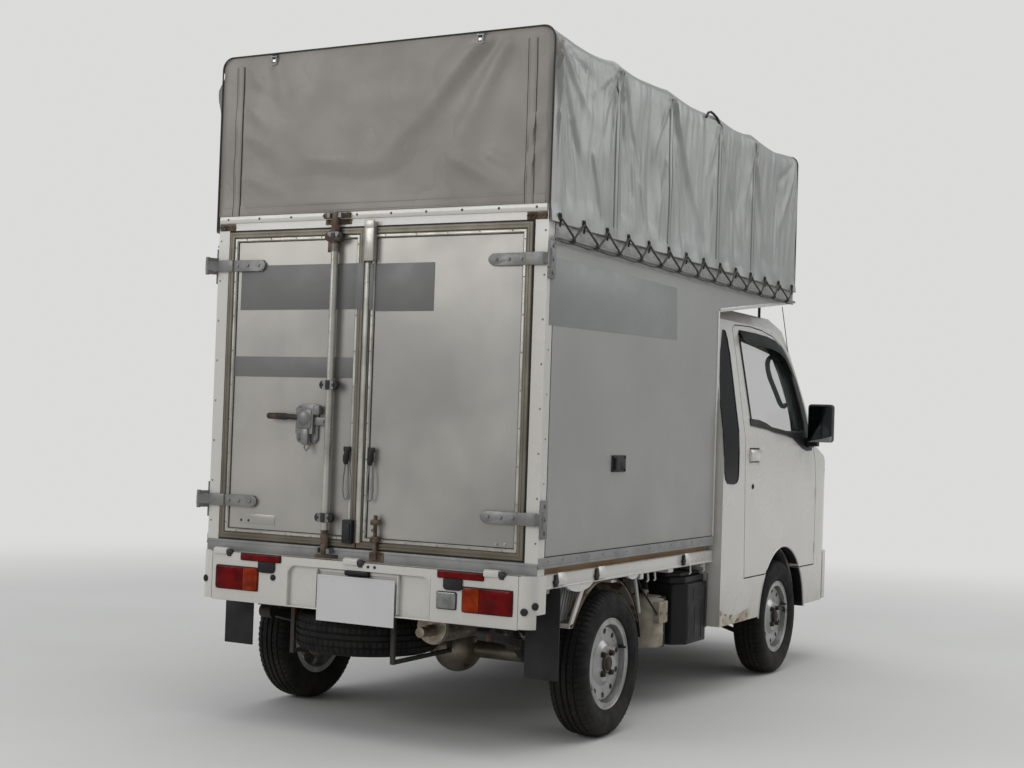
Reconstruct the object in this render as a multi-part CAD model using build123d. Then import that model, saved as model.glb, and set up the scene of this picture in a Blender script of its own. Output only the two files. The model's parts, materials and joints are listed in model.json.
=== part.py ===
from build123d import *
import math
import os

# A kei truck with a hard box body, a tarpaulin canopy and a cabin for two.
# Origin on the ground under the middle of the outline, +Y forward, +X right, +Z up, in mm.

# Driving sizes
LENGTH = 3395.0
BODY_WIDTH = 1475.0
HEIGHT = 2500.0
REAR_OVERHANG = 640.0
FRONT_OVERHANG = 855.0
CAB_LENGTH = 1695.0
TRACK_FRONT = 1305.0
TRACK_REAR = 1300.0
TYRE_RADIUS = 268.0
TYRE_WIDTH = 145.0
RIM_SEAT_RADIUS = 150.0
RIM_FLANGE_RADIUS = 168.0
RIM_WIDTH = 102.0
WHEEL_OFFSET = 40.0
SEAT_GAP = 0.3
SHAFT_GAP = 0.05
SHUT_GAP = 6.0

REAR_END = -LENGTH / 2
FRONT_END = LENGTH / 2
HALF_BODY = BODY_WIDTH / 2
REAR_AXLE_Y = REAR_END + REAR_OVERHANG
FRONT_AXLE_Y = FRONT_END - FRONT_OVERHANG
CAB_REAR = FRONT_END - CAB_LENGTH
AXLE_Z = TYRE_RADIUS

# Box body
BOX_HALF = 705.0
BOX_WALL = 28.0
BOX_REAR = REAR_END + 40.0
BOX_FRONT = CAB_REAR - 20.0
BOX_BOTTOM = 653.0
WALL_TOP = 1872.0
POST = 50.0
HEADER_BOTTOM = 1838.0
HEADER_TOP = 1902.0
SILL_TOP = 672.0
BOX_FLOOR_TOP = 657.0
OVERHANG_FRONT = CAB_REAR + 969.0
OVERHANG_FLOOR = 1790.0
OVERHANG_FLOOR_THICK = 15.0
SKIRT_REAR_Z = 1655.0
SKIRT_FRONT_Z = 1776.0

# Canopy
TARP = 5.0
HEM_SIDE = 1832.0
HEM_REAR = 1888.0
TARP_CORNER = 45.0
BOW_RADIUS = 14.0
BOW_STEPS = (0.0, 0.192, 0.39, 0.603, 0.775, 1.0)
BOW_REAR = BOX_REAR + 34.5
BOW_FRONT = OVERHANG_FRONT - 36.5

# Deck and chassis
DECK_TOP = 630.0
DECK_THICK = 26.0
DECK_HALF = BOX_HALF - 8.0
BEARER_HALF = BOX_HALF - 25.0
DECK_REAR = REAR_END + 57.5
DECK_FRONT = CAB_REAR - 9.5
SIDE_RAIL_BOTTOM = 580.0
RAIL_X = 330.0
RAIL_WIDTH = 50.0
RAIL_HEIGHT = 90.0
RAIL_LOW_TOP = 420.0
RAIL_IN = RAIL_X - RAIL_WIDTH / 2
RAIL_OUT = RAIL_X + RAIL_WIDTH / 2
RAIL_HIGH_TOP = 560.0

# Cabin: its tables are drawn with the back wall at DRAWN_REAR, and it is moved to CAB_REAR
DRAWN_REAR = 2.5
DRAWN_NOSE = DRAWN_REAR + CAB_LENGTH
DRAWN_AXLE = DRAWN_NOSE - FRONT_OVERHANG
CAB_WALL = 45.0
DOOR_THICK = 50.0
CAB_BOTTOM = 315.0
FOOTWELL_TOP = 495.0
PLATFORM_TOP = 715.0
PLATFORM_FRONT = 620.0
PANEL = 25.0
CURVE_Y = -510.0
BELT_Z = 1120.0
ROOF_EDGE_X = 648.0
ROOF_EDGE_Z = 1640.0
ROOF_CROWN = 1770.0
DRAWN_CROWN = 1770.0
ARCH_RADIUS = 335.0
ARCH_WALL = 20.0
ARCH_INNER_X = 430.0
WINDSCREEN_BOTTOM = 1112.0
WINDSCREEN_TOP = 1600.0
GLASS_INSET = 12.0
GLASS = 5.0
DOOR_REAR = 290.0
DOOR_FRONT = 1325.0
DOOR_BOTTOM = 492.0

# Kingpin: a line through the lower ball joint, leaning inwards
KINGPIN_X = 610.0
KINGPIN_Z = 165.0
KINGPIN_TOP_X = 510.0
KINGPIN_TOP_Z = 590.0

# Rear doors
DOOR_SEAM = -30.0
REAR_DOOR_THICK = 32.0
SKIN_DROP = 4.0
REAR_DOOR_BOTTOM = SILL_TOP + SHUT_GAP
REAR_DOOR_TOP = HEADER_BOTTOM - SHUT_GAP
REAR_DOOR_EDGE = BOX_HALF - POST - SHUT_GAP
HINGE_X = BOX_HALF + 25.0
HINGE_Y = REAR_END + 8.0
HINGE_PIN = 5.0
HINGE_LINES = (820.0, 1704.0)


def block(x_range, y_range, z_range):
    """A box between two values on each axis."""
    size = [high - low for low, high in (x_range, y_range, z_range)]
    middle = [(high + low) / 2 for low, high in (x_range, y_range, z_range)]
    return Pos(*middle) * Box(*size)


def rod(start, end, radius):
    """A round bar between two points."""
    start, end = Vector(*start), Vector(*end)
    along = end - start
    plane = Plane(origin=start, z_dir=along)
    return extrude(plane * Circle(radius), along.length)


def bar_path(points, radius, bend):
    """A bent round bar."""
    path = FilletPolyline(*points, radius=bend)
    start = Plane(origin=path @ 0, z_dir=path % 0)
    return sweep(start * Circle(radius), path=path)


def side_prism(points, x_range):
    """A side-view outline, points (y, z), carried along X."""
    face = make_face(Polyline(*points, close=True).edges())
    return extrude(Plane.YZ.offset(x_range[0]) * face, x_range[1] - x_range[0])


def front_prism(points, y_range):
    """A front-view outline, points (x, z), carried along Y."""
    face = make_face(Polyline(*points, close=True).edges())
    return extrude(Plane.XZ.offset(-y_range[1]) * face, y_range[1] - y_range[0])


def left_of(shape):
    return mirror(shape, about=Plane.YZ)


def solids_of(*shapes):
    return [solid for shape in shapes for solid in shape.solids()]


def group(*shapes):
    return Compound(children=solids_of(*shapes))


NODES = {}
TO_CAB = Pos(0, CAB_REAR - DRAWN_REAR, 0)


def node(name, *shapes):
    NODES[name] = group(*shapes)


def cab_node(name, *shapes):
    """A node of the cabin, drawn at DRAWN_REAR."""
    NODES[name] = group(*[TO_CAB * shape for shape in shapes])


def raised(z):
    """A height over the belt line as drawn, stretched with the roof."""
    if z <= BELT_Z:
        return z
    return BELT_Z + (z - BELT_Z) * (ROOF_CROWN - BELT_Z) / (DRAWN_CROWN - BELT_Z)


def raise_all(points):
    return [(across, raised(z)) for across, z in points]


# Wheels

def lathe(points, centre, outward):
    """A ring turned about X from points (across, radius); across grows outwards."""
    face = make_face(Polyline(*points, close=True).edges())
    ring = revolve(Plane.XY * face, axis=Axis.X)
    if outward < 0:
        ring = left_of(ring)
    return Pos(*centre) * ring


def tyre(centre, outward):
    half = TYRE_WIDTH / 2
    rim = RIM_WIDTH / 2 - SEAT_GAP - 4.0
    seat = RIM_SEAT_RADIUS + SEAT_GAP
    shoulder = TYRE_RADIUS - 9.0
    wall = TYRE_RADIUS - 62.0
    points = [
        (-rim, seat), (rim, seat), (rim, seat + 12), (half, wall), (half - 8, shoulder - 12),
        (half - 20, shoulder + 5), (half - 32, TYRE_RADIUS), (-half + 32, TYRE_RADIUS),
        (-half + 20, shoulder + 5), (-half + 8, shoulder - 12), (-half, wall), (-rim, seat + 12),
    ]
    return lathe(points, centre, outward)


DISC = 5.0
HUB_BORE = 30.0
BOLT_CIRCLE = 50.0
BOLT_HOLE = 6.5
BOLT_COUNT = 4
VENT_CIRCLE = 118.0
VENT_HOLE = 11.0
VENT_COUNT = 10


def rim(centre, outward):
    """A pressed steel wheel: barrel with flanges, dished disc, vent and bolt holes."""
    edge = RIM_WIDTH / 2
    seat = RIM_SEAT_RADIUS
    points = [
        (-edge - 4, RIM_FLANGE_RADIUS), (-edge, RIM_FLANGE_RADIUS), (-edge, seat), (edge, seat),
        (edge, RIM_FLANGE_RADIUS), (edge + 4, RIM_FLANGE_RADIUS), (edge + 4, seat - DISC),
        (-edge - 4, seat - DISC),
    ]
    barrel = lathe(points, (0, 0, 0), 1)
    face = WHEEL_OFFSET
    dish = [
        (face, HUB_BORE), (face + DISC, HUB_BORE), (face + DISC, 66), (face - 9, 84),
        (face - 4, 132), (face - 14, seat - DISC), (face - 14 - 7, seat - DISC),
        (face - 10, 126), (face - 15, 80), (face, 62),
    ]
    disc = lathe(dish, (0, 0, 0), 1)
    reach = (-20, face + 30)
    for radius, hole, count in ((BOLT_CIRCLE, BOLT_HOLE, BOLT_COUNT), (VENT_CIRCLE, VENT_HOLE, VENT_COUNT)):
        for i in range(count):
            angle = 2 * math.pi * (i + 0.5) / count
            y, z = radius * math.cos(angle), radius * math.sin(angle)
            disc -= rod((reach[0], y, z), (reach[1], y, z), hole)
    wheel = barrel + disc
    if outward < 0:
        wheel = left_of(wheel)
    return Pos(*centre) * wheel


WHEELS = {
    "front_right": (TRACK_FRONT / 2, FRONT_AXLE_Y, 1),
    "front_left": (-TRACK_FRONT / 2, FRONT_AXLE_Y, -1),
    "rear_right": (TRACK_REAR / 2, REAR_AXLE_Y, 1),
    "rear_left": (-TRACK_REAR / 2, REAR_AXLE_Y, -1),
}
for name, (x, y, outward) in WHEELS.items():
    node("tyre_" + name, tyre((x, y, AXLE_Z), outward))
    node("rim_" + name, rim((x, y, AXLE_Z), outward))

SPARE_X = -130.0
SPARE_Y = REAR_AXLE_Y - 350.0
SPARE_Z = 355.0
to_spare = Pos(SPARE_X, SPARE_Y, SPARE_Z) * Rot(0, 90, 0)
node("spare_tyre", to_spare * tyre((0, 0, 0), 1))
node("spare_rim", to_spare * rim((0, 0, 0), 1))

# Hubs: a brake drum against the wheel disc and a spigot in its bore
DRUM_RADIUS = 100.0
HAT_RADIUS = 58.0
DRUM_BACK = 30.0
SPIGOT_RADIUS = HUB_BORE - SHAFT_GAP


def hub(track, axle_y, inner):
    face = track / 2 + WHEEL_OFFSET - SEAT_GAP
    drum = rod((inner, axle_y, AXLE_Z), (face - DRUM_BACK, axle_y, AXLE_Z), DRUM_RADIUS)
    drum += rod((inner, axle_y, AXLE_Z), (face, axle_y, AXLE_Z), HAT_RADIUS)
    spigot = rod((inner - 20, axle_y, AXLE_Z), (face + 14, axle_y, AXLE_Z), SPIGOT_RADIUS)
    return drum + spigot


AXLE_TUBE = 32.0
DIFF_X = 60.0
DIFF_RADIUS = 95.0
SPRING_X = 470.0
GEARBOX_REAR = CAB_REAR - 142.5
GEARBOX_Z = 300.0
SPRING_WIDTH = 50.0
axle = rod((-600, REAR_AXLE_Y, AXLE_Z), (600, REAR_AXLE_Y, AXLE_Z), AXLE_TUBE)
axle += Pos(DIFF_X, REAR_AXLE_Y, AXLE_Z) * Sphere(DIFF_RADIUS)
axle += rod((DIFF_X, REAR_AXLE_Y, AXLE_Z), (DIFF_X, REAR_AXLE_Y + 150, AXLE_Z + 10), 48)
axle += hub(TRACK_REAR, REAR_AXLE_Y, 600)
axle += left_of(hub(TRACK_REAR, REAR_AXLE_Y, 600))
axle += rod((DIFF_X, REAR_AXLE_Y + 140, AXLE_Z + 10), (DIFF_X, GEARBOX_REAR - 3, GEARBOX_Z), 28)
node("rear_axle", axle)

# Leaf springs on top of the axle, an eye at each end
LEAF_BOTTOM = AXLE_Z + AXLE_TUBE
LEAF_REACH = 520.0
LEAF_EYE_Z = 395.0
LEAF_THICK = 9.0


def leaf_spring():
    rise = LEAF_EYE_Z - LEAF_BOTTOM
    outline = [
        (REAR_AXLE_Y - LEAF_REACH, LEAF_EYE_Z), (REAR_AXLE_Y - LEAF_REACH * 0.5, LEAF_BOTTOM + rise * 0.3),
        (REAR_AXLE_Y - 60, LEAF_BOTTOM), (REAR_AXLE_Y + 60, LEAF_BOTTOM),
        (REAR_AXLE_Y + LEAF_REACH * 0.5, LEAF_BOTTOM + rise * 0.3), (REAR_AXLE_Y + LEAF_REACH, LEAF_EYE_Z),
    ]
    upper = [(y, z + LEAF_THICK * 3) for y, z in outline]
    x_range = (SPRING_X - SPRING_WIDTH / 2, SPRING_X + SPRING_WIDTH / 2)
    spring = side_prism(outline + upper[::-1], x_range)
    for y in (REAR_AXLE_Y - LEAF_REACH, REAR_AXLE_Y + LEAF_REACH):
        z = LEAF_EYE_Z + LEAF_THICK * 1.5
        spring += rod((x_range[0], y, z), (x_range[1], y, z), 24)
    return spring


node("leaf_springs", leaf_spring(), left_of(leaf_spring()))

# Chassis rails, kicked up over the rear axle
KICK_FRONT = REAR_AXLE_Y + 560.0
KICK_TOP = REAR_AXLE_Y + 330.0
RAIL_FRONT = FRONT_END - 100.0
RAIL_REAR = REAR_END + 60.0


def rail():
    top = [
        (RAIL_REAR, RAIL_HIGH_TOP), (KICK_TOP, RAIL_HIGH_TOP), (KICK_FRONT, RAIL_LOW_TOP),
        (RAIL_FRONT, RAIL_LOW_TOP),
    ]
    bottom = [(y, z - RAIL_HEIGHT) for y, z in top]
    return side_prism(top + bottom[::-1], (RAIL_X - RAIL_WIDTH / 2, RAIL_X + RAIL_WIDTH / 2))


TOW_EYE = 15.0
EYE_REACH = 46.0
EYE_THICK = 12.0


def tow_eye(y, bottom):
    """A lashing plate on the rail's outer side, with an upright hole."""
    x_range = (RAIL_OUT, RAIL_OUT + EYE_REACH)
    plate = block(x_range, (y - 26, y + 26), (bottom, bottom + EYE_THICK))
    middle = RAIL_OUT + EYE_REACH / 2
    return plate - rod((middle, y, bottom - 1), (middle, y, bottom + EYE_THICK + 1), TOW_EYE)


rail_right = rail()
rail_right += tow_eye(RAIL_FRONT - 140, RAIL_LOW_TOP - RAIL_HEIGHT)
rail_right += tow_eye(RAIL_REAR + 137.5, RAIL_HIGH_TOP - RAIL_HEIGHT)
node("chassis_rails", rail_right, left_of(rail_right))

CROSS_LINES = (
    # y, width along Y, bottom, top
    (FRONT_END - 160.0, 60.0, 340.0, 410.0),
    (FRONT_AXLE_Y + 337.5, 70.0, 335.0, 405.0),
    (CAB_REAR - 232.5, 60.0, 335.0, 405.0),
    (REAR_AXLE_Y + 357.5, 60.0, 480.0, 550.0),
    (REAR_AXLE_Y - 157.5, 60.0, 480.0, 550.0),
    (REAR_AXLE_Y - 560.0, 60.0, 480.0, 550.0),
)
cross = [block((-RAIL_IN, RAIL_IN), (y - w / 2, y + w / 2), (low, high)) for y, w, low, high in CROSS_LINES]

# Outriggers that carry the springs' eyes
hangers = []
for y in (REAR_AXLE_Y - LEAF_REACH, REAR_AXLE_Y + LEAF_REACH):
    x_range = (RAIL_OUT, SPRING_X + SPRING_WIDTH / 2)
    hangers.append(block(x_range, (y - 30, y + 30), (LEAF_EYE_Z + LEAF_THICK * 1.5 + 24, RAIL_HIGH_TOP - 40)))
# Load deck on bearers across the rails
bearers = []
BEARER_LINES = (REAR_AXLE_Y - 480.0, REAR_AXLE_Y - 200.0, REAR_AXLE_Y + 80.0, REAR_AXLE_Y + 320.0)
for y in BEARER_LINES:
    bearers.append(block((-BEARER_HALF, BEARER_HALF), (y - 25, y + 25), (RAIL_HIGH_TOP, DECK_TOP - DECK_THICK)))
for y in (CAB_REAR - 422.5, CAB_REAR - 62.5):
    bearers.append(block((-BEARER_HALF, BEARER_HALF), (y - 25, y + 25), (RAIL_HIGH_TOP, DECK_TOP - DECK_THICK)))
    for x in (-RAIL_X, RAIL_X):
        foot = (x - RAIL_WIDTH / 2, x + RAIL_WIDTH / 2)
        bearers[-1] += block(foot, (y - 25, y + 25), (RAIL_LOW_TOP, RAIL_HIGH_TOP))
node("chassis_crossmembers", *cross, *hangers, *[left_of(hanger) for hanger in hangers])

deck = block((-DECK_HALF, DECK_HALF), (DECK_REAR, DECK_FRONT), (DECK_TOP - DECK_THICK, DECK_TOP))
for side in (-1, 1):
    flange = sorted((side * DECK_HALF, side * (DECK_HALF - 12)))
    deck += block(flange, (DECK_REAR, DECK_FRONT), (SIDE_RAIL_BOTTOM, DECK_TOP))
for bearer in bearers:
    deck += bearer
node("bed_deck", deck)

# Rear panel across the tail, with pockets for the lamps and a recess for the plate
PANEL_HALF = BOX_HALF + 5.0
PANEL_CORNER = 45.0
PANEL_REAR = REAR_END + 8.0
PANEL_THICK = 30.0
PANEL_BOTTOM = 452.0
LAMP = {"x": (435.0, 633.0), "z": (491.0, 579.0)}
REVERSE = {"x": (336.0, 412.0), "z": (497.0, 555.0)}
RECESS_HALF = 302.0
RECESS_TOP = 600.0
PANEL_X = (-PANEL_HALF, PANEL_HALF)
LEDGE_Z = DECK_TOP - 8
rear_panel = block(PANEL_X, (PANEL_REAR, PANEL_REAR + PANEL_THICK), (PANEL_BOTTOM, LEDGE_Z))
rear_panel += block(PANEL_X, (PANEL_REAR, DECK_REAR), (LEDGE_Z, DECK_TOP))
for side in (-1, 1):
    cap = sorted((side * DECK_HALF, side * PANEL_HALF))
    rear_panel += block(cap, (PANEL_REAR, BOX_REAR + 60), (500, DECK_TOP))
ends = rear_panel.edges().filter_by(Axis.Z).filter_by(lambda edge: edge.center().Y < PANEL_REAR + 1)
rear_panel = fillet(ends, PANEL_CORNER)
for side in (-1, 1):
    pocket = sorted((side * LAMP["x"][0], side * LAMP["x"][1]))
    rear_panel -= block(pocket, (PANEL_REAR - 1, PANEL_REAR + 20), LAMP["z"])
recess_y = (PANEL_REAR - 1, PANEL_REAR + 14)
rear_panel -= block((-RECESS_HALF, RECESS_HALF), recess_y, (PANEL_BOTTOM - 1, RECESS_TOP))
rear_panel -= block(REVERSE["x"], (PANEL_REAR - 1, PANEL_REAR + 20), REVERSE["z"])
node("rear_panel", rear_panel)

# Tail lamps: a wide block each side, a red reflector above it, a clear lamp on the right
lamp = block(
    (LAMP["x"][0] + SEAT_GAP, LAMP["x"][1] - SEAT_GAP), (REAR_END, PANEL_REAR + 20),
    (LAMP["z"][0] + SEAT_GAP, LAMP["z"][1] - SEAT_GAP),
)
reflector = block((336, 517), (REAR_END, PANEL_REAR), (604, 628))
reversing = block(
    (REVERSE["x"][0] + SEAT_GAP, REVERSE["x"][1] - SEAT_GAP), (REAR_END, PANEL_REAR + 20),
    (REVERSE["z"][0] + SEAT_GAP, REVERSE["z"][1] - SEAT_GAP),
)
node("tail_lamps", lamp, left_of(lamp), reflector, left_of(reflector), reversing)
PLATE_Z = 412.0
rear_plate = block((-165, 165), (REAR_END + 1, REAR_END + 3), (PLATE_Z, PLATE_Z + 165))
rear_plate += block((-60, 60), (REAR_END + 3, PANEL_REAR + 14), (500, 530))

# Box body: floor, walls, rear portal, overhang above the cabin
BOX_INNER = BOX_HALF - BOX_WALL
INSIDE_Y = (BOX_REAR + POST, BOX_FRONT - BOX_WALL)
node("box_floor", block((-BOX_INNER, BOX_INNER), INSIDE_Y, (DECK_TOP, BOX_FLOOR_TOP)))

side_outline = [
    (BOX_REAR + POST, BOX_BOTTOM), (BOX_FRONT, BOX_BOTTOM), (BOX_FRONT, SKIRT_REAR_Z),
    (OVERHANG_FRONT, SKIRT_FRONT_Z), (OVERHANG_FRONT, WALL_TOP), (BOX_REAR + POST, WALL_TOP),
]
side_wall = side_prism(side_outline, (BOX_HALF - BOX_WALL, BOX_HALF))
node("box_side_right", side_wall)
node("box_side_left", left_of(side_wall))
bulkhead = block((-BOX_INNER, BOX_INNER), (BOX_FRONT - BOX_WALL, BOX_FRONT), (DECK_TOP, OVERHANG_FLOOR))
floor_y = (BOX_FRONT - BOX_WALL, OVERHANG_FRONT)
bulkhead += block((-BOX_INNER, BOX_INNER), floor_y, (OVERHANG_FLOOR, OVERHANG_FLOOR + OVERHANG_FLOOR_THICK))
lip_y = (OVERHANG_FRONT - 25, OVERHANG_FRONT)
bulkhead += block((-BOX_INNER, BOX_INNER), lip_y, (OVERHANG_FLOOR, WALL_TOP))
node("box_front", bulkhead)
portal = block((-BOX_HALF, BOX_HALF), (BOX_REAR, BOX_REAR + POST), (DECK_TOP, HEADER_TOP))
doorway_y = (BOX_REAR - 1, BOX_REAR + POST + 1)
portal -= block((-BOX_HALF + POST, BOX_HALF - POST), doorway_y, (SILL_TOP, HEADER_BOTTOM))
node("box_portal", portal)

# Rope rail along each side, on short feet
ROPE_RAIL_Z = 1782.0
ROPE_RAIL_R = 6.0
rope_x = BOX_HALF + 16.0
rope_rail = rod((rope_x, BOX_REAR + 20, ROPE_RAIL_Z), (rope_x, OVERHANG_FRONT - 20, ROPE_RAIL_Z), ROPE_RAIL_R)
for i in range(8):
    y = BOX_REAR + 80 + i * (OVERHANG_FRONT - BOX_REAR - 160) / 7
    rope_rail += block((BOX_HALF, rope_x), (y - 12, y + 12), (ROPE_RAIL_Z - 3, ROPE_RAIL_Z + 3))
node("rope_rails", rope_rail, left_of(rope_rail))

# Canopy: bows of bent tube on the walls, and the cover over them
BOW_TOP = HEIGHT - TARP - BOW_RADIUS
BOW_X = BOX_HALF - BOX_WALL / 2
bows = []
for step in BOW_STEPS:
    y = BOW_REAR + step * (BOW_FRONT - BOW_REAR)
    legs = [(-BOW_X, y, WALL_TOP), (-BOW_X, y, BOW_TOP), (BOW_X, y, BOW_TOP), (BOW_X, y, WALL_TOP)]
    if y < BOX_REAR + POST:
        legs[0] = (-BOW_X, y, HEADER_TOP)
        legs[3] = (BOW_X, y, HEADER_TOP)
    bows.append(bar_path(legs, BOW_RADIUS, 60.0))
node("canopy_bows", *bows)

COVER_HALF = BOX_HALF + SEAT_GAP + TARP
COVER_REAR = BOX_REAR - SEAT_GAP - TARP
COVER_FRONT = OVERHANG_FRONT + SEAT_GAP + TARP


COVER_SAG = 30.0
SAG_SHARES = ((0.25, 0.75), (0.5, 1.0), (0.75, 0.75))


def cover_top(top):
    """The cover's top line, points (y, z): level over each bow, and slack between two bows."""
    bow_y = [BOW_REAR + step * (BOW_FRONT - BOW_REAR) for step in BOW_STEPS]
    line = []
    for i, y in enumerate(bow_y):
        line += [(y - BOW_RADIUS - 2, top), (y + BOW_RADIUS + 2, top)]
        if i + 1 < len(bow_y):
            line += [(y + along * (bow_y[i + 1] - y), top - COVER_SAG * drop) for along, drop in SAG_SHARES]
    return line


def cover_form(inset):
    """The cover's outer form, moved inwards by inset."""
    x, y0, y1 = COVER_HALF - inset, COVER_REAR + inset, COVER_FRONT - inset
    top = HEIGHT - inset
    bottom = HEM_SIDE - 60
    solid = block((-x, x), (y0, y1), (bottom, top))
    radius = max(TARP_CORNER - inset, 5.0)
    edges = solid.edges().filter_by(Axis.Y).group_by(Axis.Z)[-1]
    solid = fillet(edges, radius)
    if inset == 0:
        solid = fillet(solid.edges().filter_by(Axis.Z), 6.0)
    outline = [(y0, bottom), (y0, top)] + cover_top(top) + [(y1, top), (y1, bottom)]
    return solid & side_prism(outline, (-COVER_HALF * 2, COVER_HALF * 2))


cover = cover_form(0) - cover_form(TARP)
below = HEM_SIDE - 100
cover -= block((-BOX_HALF * 2, BOX_HALF * 2), (COVER_REAR * 2, COVER_FRONT * 2), (below, HEM_SIDE))
cover -= block((-BOX_HALF, BOX_HALF), (COVER_REAR - 10, COVER_REAR + 30), (below, HEM_REAR))
node("canopy_cover", cover)


# Rear doors: a skin, its frame, and the fittings on each

def rear_door(x_low, x_high):
    y_range = (BOX_REAR, BOX_REAR + REAR_DOOR_THICK)
    frame = block((x_low, x_high), y_range, (REAR_DOOR_BOTTOM, REAR_DOOR_TOP))
    inner = (x_low + 36, x_high - 36)
    z_inner = (REAR_DOOR_BOTTOM + 36, REAR_DOOR_TOP - 36)
    frame -= block(inner, (y_range[0] - 1, y_range[1] + 1), z_inner)
    skin = block(inner, (y_range[0] + SKIN_DROP, y_range[1]), z_inner)
    return frame, skin


STRAP_REACH = 238.0
STRAP_HEIGHT = 42.0
BARREL = 18.0
LUG = 13.0
ROD_RADIUS = 13.0
ROD_X = -155.0
ROD_Y = BOX_REAR - 20.0


def hinge(z, side):
    """A strap on the door, cranked past the post to a barrel round the pin's middle."""
    pin_at = (side * HINGE_X, HINGE_Y)
    door_edge = REAR_DOOR_EDGE - 2
    half = STRAP_HEIGHT / 2
    strap = sorted((side * (HINGE_X - STRAP_REACH), side * door_edge))
    plate = block(strap, (BOX_REAR - 6, BOX_REAR), (z - half, z + half))
    over = sorted((side * (door_edge - 20), side * (BOX_HALF - 8)))
    plate += block(over, (BOX_REAR - 11, BOX_REAR - 5), (z - half, z + half))
    crank = [
        (BOX_HALF - 14, BOX_REAR - 11), (BOX_HALF - 14, BOX_REAR - 5), (HINGE_X + 2, HINGE_Y + 7),
        (HINGE_X + 2, HINGE_Y - 6), (HINGE_X - 6, HINGE_Y - 6),
    ]
    outline = Polyline(*[(side * x, y) for x, y in crank], close=True)
    arm = extrude(Pos(0, 0, z - BARREL) * make_face(outline.edges()), 2 * BARREL, dir=(0, 0, 1))
    plate += arm
    plate += rod((*pin_at, z - BARREL), (*pin_at, z + BARREL), 8.0)
    plate -= rod((*pin_at, z - 40), (*pin_at, z + 40), HINGE_PIN + SHAFT_GAP)
    return plate


def hinge_bracket(z, side):
    """The plate on the post's side, two lugs and the pin through them."""
    pin_at = (side * HINGE_X, HINGE_Y)
    plate = sorted((side * BOX_HALF, side * (BOX_HALF + 6)))
    bracket = block(plate, (BOX_REAR + 2, BOX_REAR + 44), (z - 62, z + 62))
    for low in (z - BARREL - SEAT_GAP - LUG, z + BARREL + SEAT_GAP):
        outline = [
            (BOX_HALF, BOX_REAR + 3), (BOX_HALF + 6, BOX_REAR + 3), (HINGE_X + 6, HINGE_Y + 4),
            (HINGE_X - 6, HINGE_Y - 4), (BOX_HALF, BOX_REAR - 2),
        ]
        face = make_face(Polyline(*[(side * x, y) for x, y in outline], close=True).edges())
        bracket += extrude(Pos(0, 0, low) * face, LUG, dir=(0, 0, 1))
        bracket += rod((*pin_at, low), (*pin_at, low + LUG), 8.0)
    reach = BARREL + LUG
    bracket += rod((*pin_at, z - reach), (*pin_at, z + reach), HINGE_PIN)
    return bracket


def lock_rod(x, low, high):
    """A round lock rod in its guides, on the door's face."""
    bar = rod((x, ROD_Y, low), (x, ROD_Y, high), ROD_RADIUS)
    for z in (780, 1260, 1800):
        bar += block((x - 24, x + 24), (ROD_Y - 16, BOX_REAR), (z - 16, z + 16))
    return bar


brackets = [hinge_bracket(z, side) for side in (-1, 1) for z in HINGE_LINES]
for name, low, high, side in (
    ("left", -REAR_DOOR_EDGE, DOOR_SEAM - SHUT_GAP / 2, -1),
    ("right", DOOR_SEAM + SHUT_GAP / 2, REAR_DOOR_EDGE, 1),
):
    frame, skin = rear_door(low, high)
    node("rear_door_frame_" + name, frame)
    node("rear_door_skin_" + name, skin)
    straps = [hinge(z, side) for z in HINGE_LINES]
    if side < 0:
        fittings = [lock_rod(ROD_X, SILL_TOP - 20, HEADER_TOP - 12)]
        lock_box = block((-300, -225), (BOX_REAR - 22, BOX_REAR + SKIN_DROP), (1080, 1175))
        lever = block((-420, -250), (BOX_REAR - 22, BOX_REAR - 10), (1130, 1148))
        fittings.append(lock_box + lever)
    else:
        fittings = [block((DOOR_SEAM + 6, DOOR_SEAM + 44), (BOX_REAR - 24, BOX_REAR), (1710, 1850))]
        fittings.append(block((DOOR_SEAM + 4, DOOR_SEAM + 20), (BOX_REAR - 10, BOX_REAR), (700, 1700)))
    node("rear_door_fittings_" + name, *straps, *fittings)

keepers = []
for x in (ROD_X - 31, ROD_X + 19):
    for z in (SILL_TOP - 20, HEADER_BOTTOM + 30):
        keepers.append(block((x, x + 12), (BOX_REAR - 34, BOX_REAR), (z, z + 18)))
node("rear_hinge_brackets", *brackets, *keepers)

# Cabin shell: three outlines crossed, hollowed, with doors, arches and windows cut

SIDE_OUTLINE = raise_all((
    (CURVE_Y, 300.0), (1600.0, 300.0), (1672.0, 330.0), (1680.0, 560.0), (1676.0, 880.0), (1650.0, 985.0),
    (1590.0, 1035.0), (1432.0, 1092.0), (1345.0, 1290.0), (1205.0, 1535.0), (1120.0, 1650.0),
    (1020.0, 1712.0), (820.0, 1752.0), (500.0, 1785.0), (CURVE_Y, 1800.0),
))
CORNER_START = (HALF_BODY, 1440.0)
CORNER_MIDDLE = (700.0, 1572.0)
CORNER_END = (610.0, 1660.0)


def inset_face(face, inset):
    if inset == 0:
        return face
    return offset(face, amount=-inset, kind=Kind.INTERSECTION)


def cross_face(inset):
    """The front view: upright to the belt, leaning in above it, a crowned roof."""
    shoulder = (600.0, raised(1697.0))
    right = [(HALF_BODY, CAB_BOTTOM - 15), (HALF_BODY, BELT_Z), (ROOF_EDGE_X, raised(ROOF_EDGE_Z)), shoulder]
    left = [(-x, z) for x, z in reversed(right)]
    roof = ThreePointArc(shoulder, (0, ROOF_CROWN), (-shoulder[0], shoulder[1]))
    edges = Polyline(*right).edges() + roof.edges() + Polyline(*left).edges()
    edges += Line(left[-1], right[0]).edges()
    return inset_face(make_face(edges), inset)


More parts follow.
